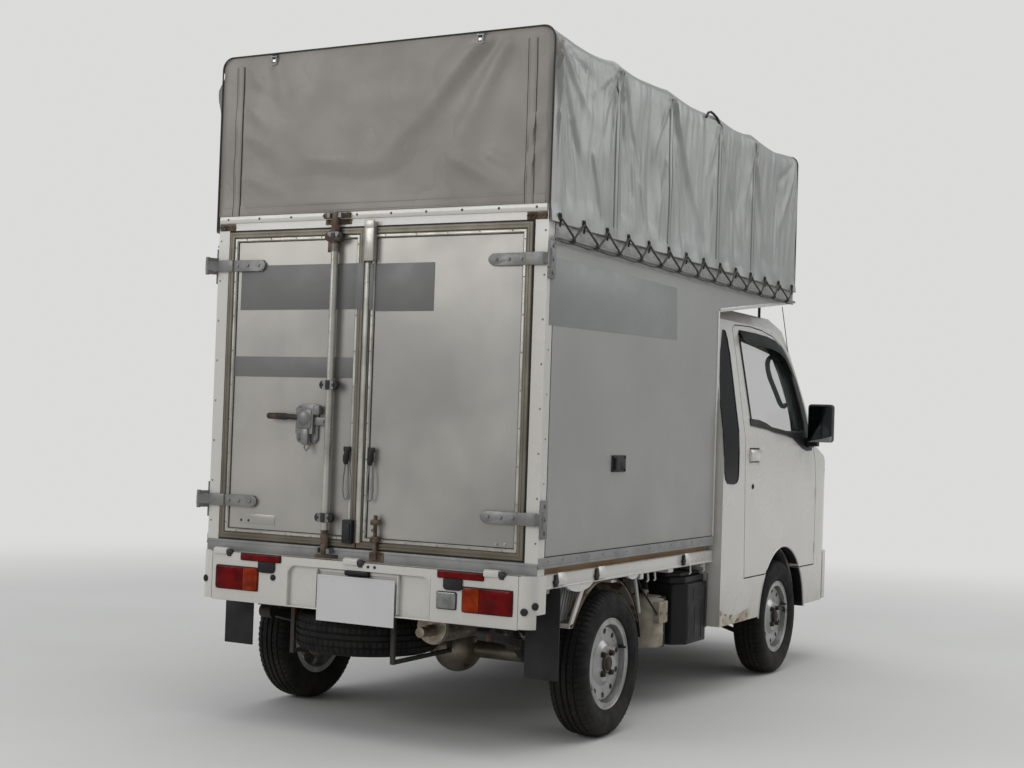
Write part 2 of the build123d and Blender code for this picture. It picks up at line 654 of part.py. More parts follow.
def plan_face(inset):
    right = ThreePointArc(CORNER_START, CORNER_MIDDLE, CORNER_END)
    left = ThreePointArc(*[(-x, y) for x, y in (CORNER_START, CORNER_MIDDLE, CORNER_END)])
    end_x, end_y = CORNER_END
    front = Polyline(CORNER_END, (end_x, 1760.0), (-end_x, 1760.0), (-end_x, end_y))
    rear_left = (-HALF_BODY, DRAWN_REAR)
    rear = Polyline((-HALF_BODY, CORNER_START[1]), rear_left, (HALF_BODY, DRAWN_REAR), CORNER_START)
    return inset_face(make_face(right.edges() + front.edges() + left.edges() + rear.edges()), inset)


def cab_form(inset):
    """The cabin's outer form moved inwards by inset on every side but the floor."""
    side = Plane.YZ * inset_face(make_face(Polyline(*SIDE_OUTLINE, close=True).edges()), inset)
    pivot = Axis((0, CURVE_Y, 0), (0, 0, 1))
    front = revolve(side, axis=pivot, revolution_arc=150).rotate(pivot, -75)
    cross = extrude(Plane.XZ.offset(100) * cross_face(inset), -2000)
    plan = extrude(plan_face(inset), 2000)
    return front & cross & plan


def door_outline(grow):
    """The cab door's side view, grown by a gap all round."""
    low, high = DOOR_BOTTOM - grow, grow
    return raise_all([
        (DOOR_REAR - 22 - grow, 1180.0), (DOOR_REAR + 12 - grow, low), (DOOR_FRONT + high, low),
        (DOOR_FRONT + high, 900.0), (DOOR_FRONT - 20 + high, 1010.0), (1262.0 + high, 1085.0 + high),
        (1222.0 + high, 1110.0 + high), (1205.0 + high, 1190.0), (1178.0 + high, 1308.0),
        (1112.0 + high, 1437.0 + high / 2), (1056.0 + high, 1500.0 + high / 2), (1006.0 + high, 1540.0 + high),
        (940.0, 1573.0 + high), (846.0, 1603.0 + high), (690.0, 1622.0 + high), (534.0, 1629.0 + high),
        (320.0, 1622.0 + high), (DOOR_REAR - 4 - grow, 1606.0), (DOOR_REAR - 2 - grow, 1480.0),
    ])


DOOR_WINDOW = raise_all([
    (366, 1196), (356, 1550), (366, 1576), (400, 1586), (560, 1588), (740, 1583), (868, 1566), (945, 1535),
    (1000, 1485), (1050, 1410), (1100, 1300), (1128, 1200), (1122, 1160), (1080, 1150), (836, 1150),
    (612, 1164), (430, 1182),
])
SLIT_WINDOW = raise_all([
    (48, 935), (26, 990), (14, 1150), (16, 1290), (60, 1400), (130, 1560), (160, 1590), (192, 1590),
    (208, 1550), (210, 1440), (200, 1310), (186, 1160), (196, 990), (184, 935),
])
REAR_WINDOW = raise_all([(-420, 1130), (420, 1130), (420, 1470), (-420, 1470)])
WINDSCREEN = raise_all([
    (-648, WINDSCREEN_BOTTOM), (648, WINDSCREEN_BOTTOM), (578, WINDSCREEN_TOP), (-578, WINDSCREEN_TOP),
])

outer = cab_form(0)
WIDE = (-900.0, 900.0)
cavity = cab_form(CAB_WALL)
cavity &= block(WIDE, (0, 1750), (FOOTWELL_TOP, 1800))
cavity -= block(WIDE, (0, PLATFORM_FRONT), (FOOTWELL_TOP - 1, PLATFORM_TOP))
channel = block((-600, 600), (-10, PLATFORM_FRONT - PANEL), (CAB_BOTTOM - 50, PLATFORM_TOP - PANEL))
channel += block((-600, 600), (-10, 1620), (CAB_BOTTOM - 50, FOOTWELL_TOP - PANEL))
arch_out, arch_in, arch_wide = Part(), Part(), Part()
for side in (-1, 1):
    inner_x = side * ARCH_INNER_X
    wheel_at = (DRAWN_AXLE, AXLE_Z)
    wall_end = side * (HALF_BODY - DOOR_THICK - SHUT_GAP)
    arch_in += rod((inner_x, *wheel_at), (side * 800, *wheel_at), ARCH_RADIUS)
    arch_out += rod((inner_x - side * ARCH_WALL, *wheel_at), (wall_end, *wheel_at), ARCH_RADIUS + ARCH_WALL)
shell = outer - cavity - channel
shell += arch_out & cavity
shell += arch_out & channel & block(WIDE, (0, 1750), (CAB_BOTTOM, 1700))
shell -= arch_in

SIDE_ZONE = block((300, 900), (0, 1750), (CAB_BOTTOM - 50, raised(1660)))
door_layer = cross_face(0) - cross_face(DOOR_THICK)
door_band = extrude(Plane.XZ.offset(100) * door_layer, -2000) & SIDE_ZONE
gap_layer = offset(cross_face(0), amount=10, kind=Kind.INTERSECTION) - cross_face(DOOR_THICK + SHUT_GAP)
gap_band = extrude(Plane.XZ.offset(100) * gap_layer, -2000) & SIDE_ZONE
door_cut = gap_band & side_prism(door_outline(SHUT_GAP), (300, 900))
shell -= door_cut
shell -= left_of(door_cut)

door = outer & door_band & side_prism(door_outline(0), (300, 900))
door -= arch_in
door_panel = door - side_prism(DOOR_WINDOW, (300, 900))
glass_layer = cab_form(GLASS_INSET) - cab_form(GLASS_INSET + GLASS)
door_glass = glass_layer & door & side_prism(DOOR_WINDOW, (300, 900))

windscreen_prism = front_prism(WINDSCREEN, (1050, 1600))
rear_prism = front_prism(REAR_WINDOW, (-20, 80))
slit_prism = side_prism(SLIT_WINDOW, (600, 760))
slit_prism += left_of(slit_prism)
glass = glass_layer & (windscreen_prism + rear_prism + slit_prism)
shell -= windscreen_prism
shell -= rear_prism
shell -= slit_prism


# Cab door hinges: a barrel on the door between two lugs on the cabin
CAB_HINGE_X = HALF_BODY - 2.0
CAB_HINGE_Y = DOOR_FRONT + SHUT_GAP / 2
CAB_HINGE_LINES = (570.0, 850.0)
LUG_RADIUS = 7.0
LUG_CLEAR = 8.0
BARREL_HALF = 12.0
LUG_END = 24.0
CAB_PIN = 4.5


def upright(z_low, z_high, radius):
    return rod((CAB_HINGE_X, CAB_HINGE_Y, z_low), (CAB_HINGE_X, CAB_HINGE_Y, z_high), radius)


for z in CAB_HINGE_LINES:
    door_panel -= upright(z - LUG_END - 2, z + LUG_END + 2, LUG_CLEAR)
    web_y = (CAB_HINGE_Y - 11, CAB_HINGE_Y - 1)
    web = block((CAB_HINGE_X - 14, CAB_HINGE_X - 2), web_y, (z - BARREL_HALF, z + BARREL_HALF))
    door_panel += web + upright(z - BARREL_HALF, z + BARREL_HALF, LUG_RADIUS)
    door_panel -= upright(z - BARREL_HALF - 1, z + BARREL_HALF + 1, CAB_PIN + SHAFT_GAP)
    lugs = upright(z - LUG_END, z + LUG_END, LUG_RADIUS)
    room = upright(z - BARREL_HALF - SEAT_GAP, z + BARREL_HALF + SEAT_GAP, LUG_CLEAR)
    pin = upright(z - LUG_END, z + LUG_END, CAB_PIN)
    shell = shell - room - left_of(room)
    hinge_part = (lugs - room) + pin
    shell = shell + hinge_part + left_of(hinge_part)

# Lamps and trim let into the front panel
LAMP_DEPTH = 35.0
HEADLAMP = [(392, 785), (640, 758), (735, 835), (735, 970), (640, 1018), (430, 940)]
lamp_ring = outer - cab_form(LAMP_DEPTH)
headlamp = lamp_ring & front_prism(HEADLAMP, (1385, 1750))
shell = shell - headlamp - left_of(headlamp)
GARNISH_DEPTH = 12.0
garnish_ring = outer - cab_form(GARNISH_DEPTH)
garnish = garnish_ring & front_prism([(-380, 835), (380, 835), (380, 905), (-380, 905)], (1500, 1750))
shell = shell - garnish

BUMPER_THICK = 14.0
BUMPER_Z = (306.0, 548.0)
bumper_side = Polyline(
    (CURVE_Y, BUMPER_Z[0]), (1668.0, BUMPER_Z[0]), (DRAWN_NOSE - 6, 360.0), (DRAWN_NOSE - 4, 520.0),
    (1676.0, BUMPER_Z[1]), (CURVE_Y, BUMPER_Z[1]), close=True,
)
pivot = Axis((0, CURVE_Y, 0), (0, 0, 1))
bumper_face = Plane.YZ * make_face(bumper_side.edges())
bumper_form = revolve(bumper_face, axis=pivot, revolution_arc=100).rotate(pivot, -50)
bumper_form &= extrude(plan_face(-BUMPER_THICK), 700)
bumper_form &= block((-HALF_BODY, HALF_BODY), (1480, 1750), BUMPER_Z)
bumper = bumper_form - outer
grille = bumper & block((-300, 300), (1500, DRAWN_NOSE - 12), (400, 470))
bumper -= block((-300, 300), (1500, 1750), (400, 470))
front_plate = block((-165, 165), (1600, DRAWN_NOSE), (478, 643)) - bumper_form - outer
cab_node("front_bumper", bumper)
node("number_plates", rear_plate, TO_CAB * front_plate)
cab_node("headlamps", headlamp, left_of(headlamp))
cab_node("front_grille", grille, garnish)

# Inside the cabin
dashboard = cab_form(CAB_WALL + SEAT_GAP) & block((-670, 670), (1240, 1480), (840, 1065))
WHEEL_CENTRE = Vector(330.0, 1060.0, 1000.0)
COLUMN = Vector(0, -0.5, math.sqrt(0.75))
STEERING_RADIUS = 180.0
column = rod(WHEEL_CENTRE - COLUMN * 330, WHEEL_CENTRE - COLUMN * 30, 22)
column += block((300, 360), (1125, 1240), (845, 900))
cab_node("dashboard", dashboard + column)
wheel_plane = Plane(origin=WHEEL_CENTRE, z_dir=COLUMN, x_dir=(1, 0, 0))
steering_wheel = wheel_plane * Rot(0, 0, 45) * Torus(STEERING_RADIUS, 13)
steering_wheel += rod(WHEEL_CENTRE - COLUMN * (30 - SEAT_GAP), WHEEL_CENTRE + COLUMN * 12, 34)
for angle in (0, 180, 270):
    turn = math.radians(angle)
    along = wheel_plane.x_dir * math.cos(turn) + wheel_plane.y_dir * math.sin(turn)
    steering_wheel += rod(WHEEL_CENTRE + along * 20, WHEEL_CENTRE + along * STEERING_RADIUS, 9)
cab_node("steering_wheel", steering_wheel)


def seat():
    cushion = side_prism(
        [(100, PLATFORM_TOP), (585, PLATFORM_TOP), (600, 810), (570, 850), (100, 835)], (100, 560),
    )
    back = side_prism([(58, 800), (190, 830), (150, 1300), (62, 1320)], (110, 550))
    head = block((220, 440), (66, 140), (1310, 1470))
    return cushion + back + head


cab_node("seats", seat(), left_of(seat()))

# Mirrors on the doors
MIRROR = ((752.0, 874.0), (1112.0, 1176.0), (1105.0, 1292.0))
housing = block(*MIRROR)
housing = fillet(housing.edges(), 16)
housing += block((HALF_BODY, 752), (1150, 1238), (1078, 1118)) + block((745, 800), (1130, 1165), (1084, 1125))
cab_node("mirror_right", housing)
cab_node("mirror_left", left_of(housing))

# Front suspension: lower arms on the rails, knuckles with struts, mounts under the arches
FOOT = Vector(KINGPIN_X, FRONT_AXLE_Y, KINGPIN_Z)
HEAD = Vector(KINGPIN_TOP_X, FRONT_AXLE_Y, KINGPIN_TOP_Z)
LEAN = (HEAD - FOOT).normalized()
BALL = 13.0
TOP_PIN = 10.0
ARM_Y = 150.0
ARM_Z = 262.0
spindle_x = KINGPIN_X - (AXLE_Z - KINGPIN_Z) * (KINGPIN_X - KINGPIN_TOP_X) / (KINGPIN_TOP_Z - KINGPIN_Z)
knuckle = rod(FOOT - LEAN * 14, FOOT + LEAN * 30, BALL)
knuckle += rod(FOOT + LEAN * (12 + SEAT_GAP), HEAD - LEAN * 12, 21)
knuckle += rod(FOOT + LEAN * 340, HEAD - LEAN * (12 + SEAT_GAP), 34)
knuckle += rod(HEAD - LEAN * 20, HEAD + LEAN * 10, TOP_PIN)
knuckle += rod((spindle_x - 26, FRONT_AXLE_Y, AXLE_Z), (660, FRONT_AXLE_Y, AXLE_Z), 36)
knuckle += hub(TRACK_FRONT, FRONT_AXLE_Y, 640)
node("knuckle_right", knuckle)
node("knuckle_left", left_of(knuckle))
mount = rod(HEAD - LEAN * 12, HEAD + LEAN * 60, 42)
mount -= rod(HEAD - LEAN * 20, HEAD + LEAN * 13, TOP_PIN + SHAFT_GAP)
arch_room = rod((ARCH_INNER_X, FRONT_AXLE_Y, AXLE_Z), (700, FRONT_AXLE_Y, AXLE_Z), ARCH_RADIUS)
mount &= arch_room
arm = rod(FOOT - LEAN * 12, FOOT + LEAN * 12, 25)
for side in (-1, 1):
    pivot_at = (RAIL_OUT, FRONT_AXLE_Y + side * ARM_Y, ARM_Z)
    arm += rod(pivot_at, (KINGPIN_X - 20, FRONT_AXLE_Y, KINGPIN_Z - 8), 11)
    bracket_y = (pivot_at[1] - 22, pivot_at[1] + 22)
    arm += block((RAIL_IN, RAIL_OUT + 4), bracket_y, (ARM_Z - 24, RAIL_LOW_TOP - RAIL_HEIGHT))
arm -= rod(FOOT - LEAN * 30, FOOT + LEAN * 30, BALL + SHAFT_GAP)
node("front_suspension", mount, left_of(mount), arm, left_of(arm))

# Engine under the seats, exhaust, tank, battery box and canister
ENGINE_REAR = CAB_REAR + 17.5
ENGINE_FRONT = CAB_REAR + 557.5
MOUNT_Y = CAB_REAR + 302.5
engine = block((-200, 200), (ENGINE_REAR, ENGINE_FRONT), (262, 675))
engine += block((-RAIL_IN, RAIL_IN), (MOUNT_Y - 25, MOUNT_Y + 25), (345, 390))
engine += rod((DIFF_X, GEARBOX_REAR, GEARBOX_Z), (DIFF_X, ENGINE_REAR + 10, GEARBOX_Z), 62)
node("engine_block", engine)
MUFFLER_FRONT = REAR_AXLE_Y - 177.5
MUFFLER_REAR = REAR_AXLE_Y - 502.5
MUFFLER_X = 240.0
MUFFLER_Z = 410.0
exhaust_line = [
    (180, ENGINE_REAR, 290), (180, REAR_AXLE_Y + 277.5, 290), (180, REAR_AXLE_Y + 97.5, 375),
    (180, REAR_AXLE_Y - 102.5, 375), (MUFFLER_X, MUFFLER_FRONT - 15, MUFFLER_Z - 20),
]
exhaust = bar_path(exhaust_line, 20, 60)
exhaust += rod((MUFFLER_X, MUFFLER_REAR, MUFFLER_Z), (MUFFLER_X, MUFFLER_FRONT, MUFFLER_Z), 60)
tail_z = MUFFLER_Z - 12
exhaust += rod((MUFFLER_X, MUFFLER_REAR - 80, tail_z), (MUFFLER_X, MUFFLER_REAR + 10, tail_z), 18)
node("exhaust", exhaust)

def behind_cab(far, near):
    return CAB_REAR - far, CAB_REAR - near


SPRING_FRONT = REAR_AXLE_Y + LEAF_REACH
tank = block((-640, -RAIL_OUT), (SPRING_FRONT + 57.5, CAB_REAR - 62.5), (250, 480))
battery = block((520, 690), behind_cab(302.5, 32.5), (245, 545))
battery += block((RAIL_OUT, 520), behind_cab(202.5, 142.5), (375, 415))
node("battery_box", battery)
CANISTER_Y = CAB_REAR - 390.5
canister = rod((575, CANISTER_Y, 251), (575, CANISTER_Y, 455), 68)
canister += block((RAIL_OUT, 520), behind_cab(407.5, 372.5), (375, 415))
node("fuel_tank", tank, canister)

LINER_RADIUS = 330.0
liner_ring = rod((592, REAR_AXLE_Y, AXLE_Z), (688, REAR_AXLE_Y, AXLE_Z), LINER_RADIUS + 4)
liner_ring -= rod((590, REAR_AXLE_Y, AXLE_Z), (690, REAR_AXLE_Y, AXLE_Z), LINER_RADIUS)
liner = liner_ring & block((590, 690), (REAR_AXLE_Y + 100, REAR_AXLE_Y + 400), (330, 556))
liner += block((592, BEARER_HALF), (REAR_AXLE_Y + 163, REAR_AXLE_Y + 169), (540, DECK_TOP - DECK_THICK))
FLAP_FACE = REAR_AXLE_Y - 480.0 + 25.0
flap = block((590, 722), (FLAP_FACE, FLAP_FACE + 5), (262, 578))
node("rear_mud_guards", liner, left_of(liner), flap, left_of(flap))

CARRIER_Z = SPARE_Z - TYRE_WIDTH / 2
CARRIER_Y = (SPARE_Y - 204.5, SPARE_Y + 204.5)
carrier = []
for x, top in ((-RAIL_X, RAIL_HIGH_TOP - RAIL_HEIGHT), (110.0, 480.0)):
    bar = block((x - 8, x + 8), CARRIER_Y, (CARRIER_Z - 14, CARRIER_Z - SEAT_GAP))
    for y in (CARRIER_Y[0], CARRIER_Y[1] - 12):
        bar += block((x - 8, x + 8), (y, y + 12), (CARRIER_Z - 14, top))
    carrier.append(bar)
node("spare_carrier", *carrier)

ROOF_LINE = raise_all([
    (-50, 1662), (560, 1662), (760, 1652), (900, 1628), (1000, 1585), (1500, 1585), (1500, 1900), (-50, 1900),
])
roof_zone = side_prism(ROOF_LINE, (-900, 900))
SPLIT_Y = 600.0
SPLIT_Z = 735.0
body = shell - roof_zone
floor_zone = block(WIDE, (-20, 1250), (200, SPLIT_Z))
upper = body - floor_zone
cab_node("cab_roof", shell & roof_zone)
cab_node("cab_floor", body & floor_zone)
cab_node("cab_back", upper & block(WIDE, (-20, SPLIT_Y), (200, 1800)))
cab_node("cab_front", upper & block(WIDE, (SPLIT_Y, 1800), (200, 1800)))
cab_node("cab_glass", glass)
cab_node("cab_door_right", door_panel)
cab_node("cab_door_left", left_of(door_panel))
cab_node("door_glass_right", door_glass)
cab_node("door_glass_left", left_of(door_glass))


os.makedirs("parts", exist_ok=True)
for name, shape in NODES.items():
    export_step(shape, "parts/" + name + ".step")
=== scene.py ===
import json
import math

import bmesh
import bpy
import numpy as np
from mathutils import Matrix, Vector, noise
from mathutils.bvhtree import BVHTree


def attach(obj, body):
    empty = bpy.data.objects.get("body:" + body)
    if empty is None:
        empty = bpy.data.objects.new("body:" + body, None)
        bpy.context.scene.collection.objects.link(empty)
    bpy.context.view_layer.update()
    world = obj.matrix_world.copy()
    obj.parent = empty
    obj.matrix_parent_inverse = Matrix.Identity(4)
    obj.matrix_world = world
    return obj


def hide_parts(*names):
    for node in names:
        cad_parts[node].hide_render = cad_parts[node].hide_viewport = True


# A kei truck with a box body and a tarpaulin canopy. Metres, +Y forward, +X right, +Z up.
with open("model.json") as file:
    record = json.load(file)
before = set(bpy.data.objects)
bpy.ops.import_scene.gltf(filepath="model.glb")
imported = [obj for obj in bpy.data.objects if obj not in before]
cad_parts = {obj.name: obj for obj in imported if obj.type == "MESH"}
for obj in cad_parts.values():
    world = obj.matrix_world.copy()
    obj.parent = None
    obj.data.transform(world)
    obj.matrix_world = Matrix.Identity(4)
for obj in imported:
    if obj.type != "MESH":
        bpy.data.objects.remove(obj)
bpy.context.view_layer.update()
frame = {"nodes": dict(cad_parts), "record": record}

# Camera at the photograph's place
AZIMUTH, ELEVATION, ROLL = (math.radians(angle) for angle in (28.357, 1.583, 1.923))
FOCAL_PIXELS = 1539.7
PHOTO_WIDTH = 1024
CAMERA_AT = (3.0769, -6.2764, 1.1316)

# Places that the solids give
BOX_X = 0.705
BOX_REAR = -1.6575
BOX_FRONT = -0.0175
OVERHANG_FRONT = 0.9715
WALL_TOP = 1.872
TOP = 2.500
HEM_SIDE = 1.832
HEM_REAR = 1.888
ROPE_RAIL_Z = 1.782
ROPE_RAIL_X = BOX_X + 0.016
PANEL_Y = -1.6895
CAB_X = 0.7375
REAR_AXLE_Y = -1.0575
FRONT_AXLE_Y = 0.8425
AXLE_Z = 0.268
FIRST_BOW = -1.623
BOW_SPAN = 2.558
BOWS = [FIRST_BOW + step * BOW_SPAN for step in (0.0, 0.192, 0.39, 0.603, 0.775, 1.0)]
SIDES = (("right", 1), ("left", -1))
BACK = (0, -1, 0)
UP = (0, 0, 1)


def add_camera():
    """The camera that was fitted to the photograph."""
    along = Vector((-math.sin(AZIMUTH) * math.cos(ELEVATION), math.cos(AZIMUTH) * math.cos(ELEVATION),
                    math.sin(ELEVATION)))
    level = Vector((math.cos(AZIMUTH), math.sin(AZIMUTH), 0))
    upright = level.cross(along)
    right = math.cos(ROLL) * level + math.sin(ROLL) * upright
    up = math.cos(ROLL) * upright - math.sin(ROLL) * level
    data = bpy.data.cameras.new("camera")
    data.sensor_width = 36
    data.lens = FOCAL_PIXELS / PHOTO_WIDTH * data.sensor_width
    camera = bpy.data.objects.new("camera", data)
    camera.matrix_world = Matrix.Translation(CAMERA_AT) @ Matrix((right, up, -along)).transposed().to_4x4()
    bpy.context.scene.collection.objects.link(camera)
    bpy.context.scene.camera = camera


add_camera()


# Materials

def linear(colour):
    """The linear value of a colour written as it looks on screen."""
    return tuple(((c + 0.055) / 1.055) ** 2.4 if c > 0.04045 else c / 12.92 for c in colour) + (1.0,)


class Nodes:
    """Short calls for building a material's node tree."""

    def __init__(self, name):
        self.material = bpy.data.materials.new(name)
        self.material.use_nodes = True
        self.tree = self.material.node_tree
        self.shader = self.tree.nodes["Principled BSDF"]
        self.place = self.tree.nodes.new("ShaderNodeTexCoord").outputs["Object"]

    def add(self, kind, **settings):
        made = self.tree.nodes.new(kind)
        for key, value in settings.items():
            setattr(made, key, value)
        return made

    def link(self, source, target):
        self.tree.links.new(source, target)

    def stretched(self, factors):
        made = self.add("ShaderNodeMapping")
        made.inputs["Scale"].default_value = factors
        self.link(self.place, made.inputs["Vector"])
        return made.outputs["Vector"]

    def noise(self, scale, detail=4, stretch=None):
        made = self.add("ShaderNodeTexNoise")
        made.inputs["Scale"].default_value = scale
        made.inputs["Detail"].default_value = detail
        self.link(self.stretched(stretch) if stretch else self.place, made.inputs["Vector"])
        return made.outputs["Fac"]

    def ramp(self, source, low, high, out_low=0.0, out_high=1.0):
        made = self.add("ShaderNodeMapRange", interpolation_type="SMOOTHSTEP")
        for key, value in (("From Min", low), ("From Max", high), ("To Min", out_low), ("To Max", out_high)):
            made.inputs[key].default_value = value
        self.link(source, made.inputs["Value"])
        return made.outputs["Result"]

    def math(self, operation, first, second):
        made = self.add("ShaderNodeMath", operation=operation)
        for slot, value in zip(made.inputs, (first, second)):
            if isinstance(value, (int, float)):
                slot.default_value = value
            else:
                self.link(value, slot)
        return made.outputs[0]

    def mix(self, factor, first, second):
        made = self.add("ShaderNodeMix", data_type="RGBA")
        self.link(factor, made.inputs["Factor"])
        for slot, value in ((made.inputs["A"], first), (made.inputs["B"], second)):
            if isinstance(value, tuple):
                slot.default_value = linear(value)
            else:
                self.link(value, slot)
        return made.outputs["Result"]

    def height(self):
        made = self.add("ShaderNodeSeparateXYZ")
        self.link(self.place, made.inputs[0])
        return made.outputs["Z"]


def finish_material(name, colour, second, blotch=3.0, rough=(0.4, 0.6), metal=0.0, coat=0.0,
                    grain=(220.0, 0.1), streak=None, dirt=None, rust=None, waves=None, weave=None, alpha=1.0,
                    glass=0.0, specular=0.5, folds=None):
    """A material: blotches of two colours, streaks, dirt below a height, rust spots and a bump."""
    n = Nodes(name)
    out = n.mix(n.ramp(n.noise(blotch, 6), 0.35, 0.65), colour, second)
    roughness = n.ramp(n.noise(blotch * 3, 5), 0.3, 0.7, rough[0], rough[1])
    if streak:
        colour3, amount, stretch = streak
        fac = n.ramp(n.noise(1.0, 6, stretch), 0.5, 0.8, 0.0, amount)
        out = n.mix(fac, out, colour3)
    if dirt:
        colour4, low, high, amount = dirt
        level = n.ramp(n.height(), low, high, 1.0, 0.0)
        spots = n.ramp(n.noise(9.0, 8), 0.3, 0.75)
        fac = n.math("MULTIPLY", n.math("MULTIPLY", level, n.math("ADD", spots, 0.35)), amount)
        out = n.mix(fac, out, colour4)
    if rust:
        colour5, threshold, scale = rust
        fac = n.ramp(n.noise(scale, 9), threshold, threshold + 0.07)
        out = n.mix(fac, out, colour5)
        roughness = n.math("MAXIMUM", roughness, n.math("MULTIPLY", fac, 0.85))
    n.link(out, n.shader.inputs["Base Color"])
    n.link(roughness, n.shader.inputs["Roughness"])
    n.shader.inputs["Metallic"].default_value = metal
    n.shader.inputs["Coat Weight"].default_value = coat
    n.shader.inputs["Coat Roughness"].default_value = 0.12
    n.shader.inputs["Specular IOR Level"].default_value = specular
    n.shader.inputs["Transmission Weight"].default_value = glass
    n.shader.inputs["Alpha"].default_value = alpha
    height = n.noise(grain[0], 3, weave)
    if waves:
        height = n.math("ADD", height, n.math("MULTIPLY", n.noise(waves[0], 4, waves[2]), waves[1]))
    bump = n.add("ShaderNodeBump")
    bump.inputs["Strength"].default_value = grain[1]
    bump.inputs["Distance"].default_value = 0.001
    n.link(height, bump.inputs["Height"])
    if folds:
        stretch, depth = folds
        ridge = n.math("ABSOLUTE", n.math("SUBTRACT", n.noise(1.0, 3, stretch), 0.5), 0)
        soft = n.add("ShaderNodeBump")
        soft.inputs["Strength"].default_value = 1.0
        soft.inputs["Distance"].default_value = depth
        n.link(n.math("SQRT", ridge, 0), soft.inputs["Height"])
        n.link(soft.outputs["Normal"], bump.inputs["Normal"])
    n.link(bump.outputs["Normal"], n.shader.inputs["Normal"])
    return n.material


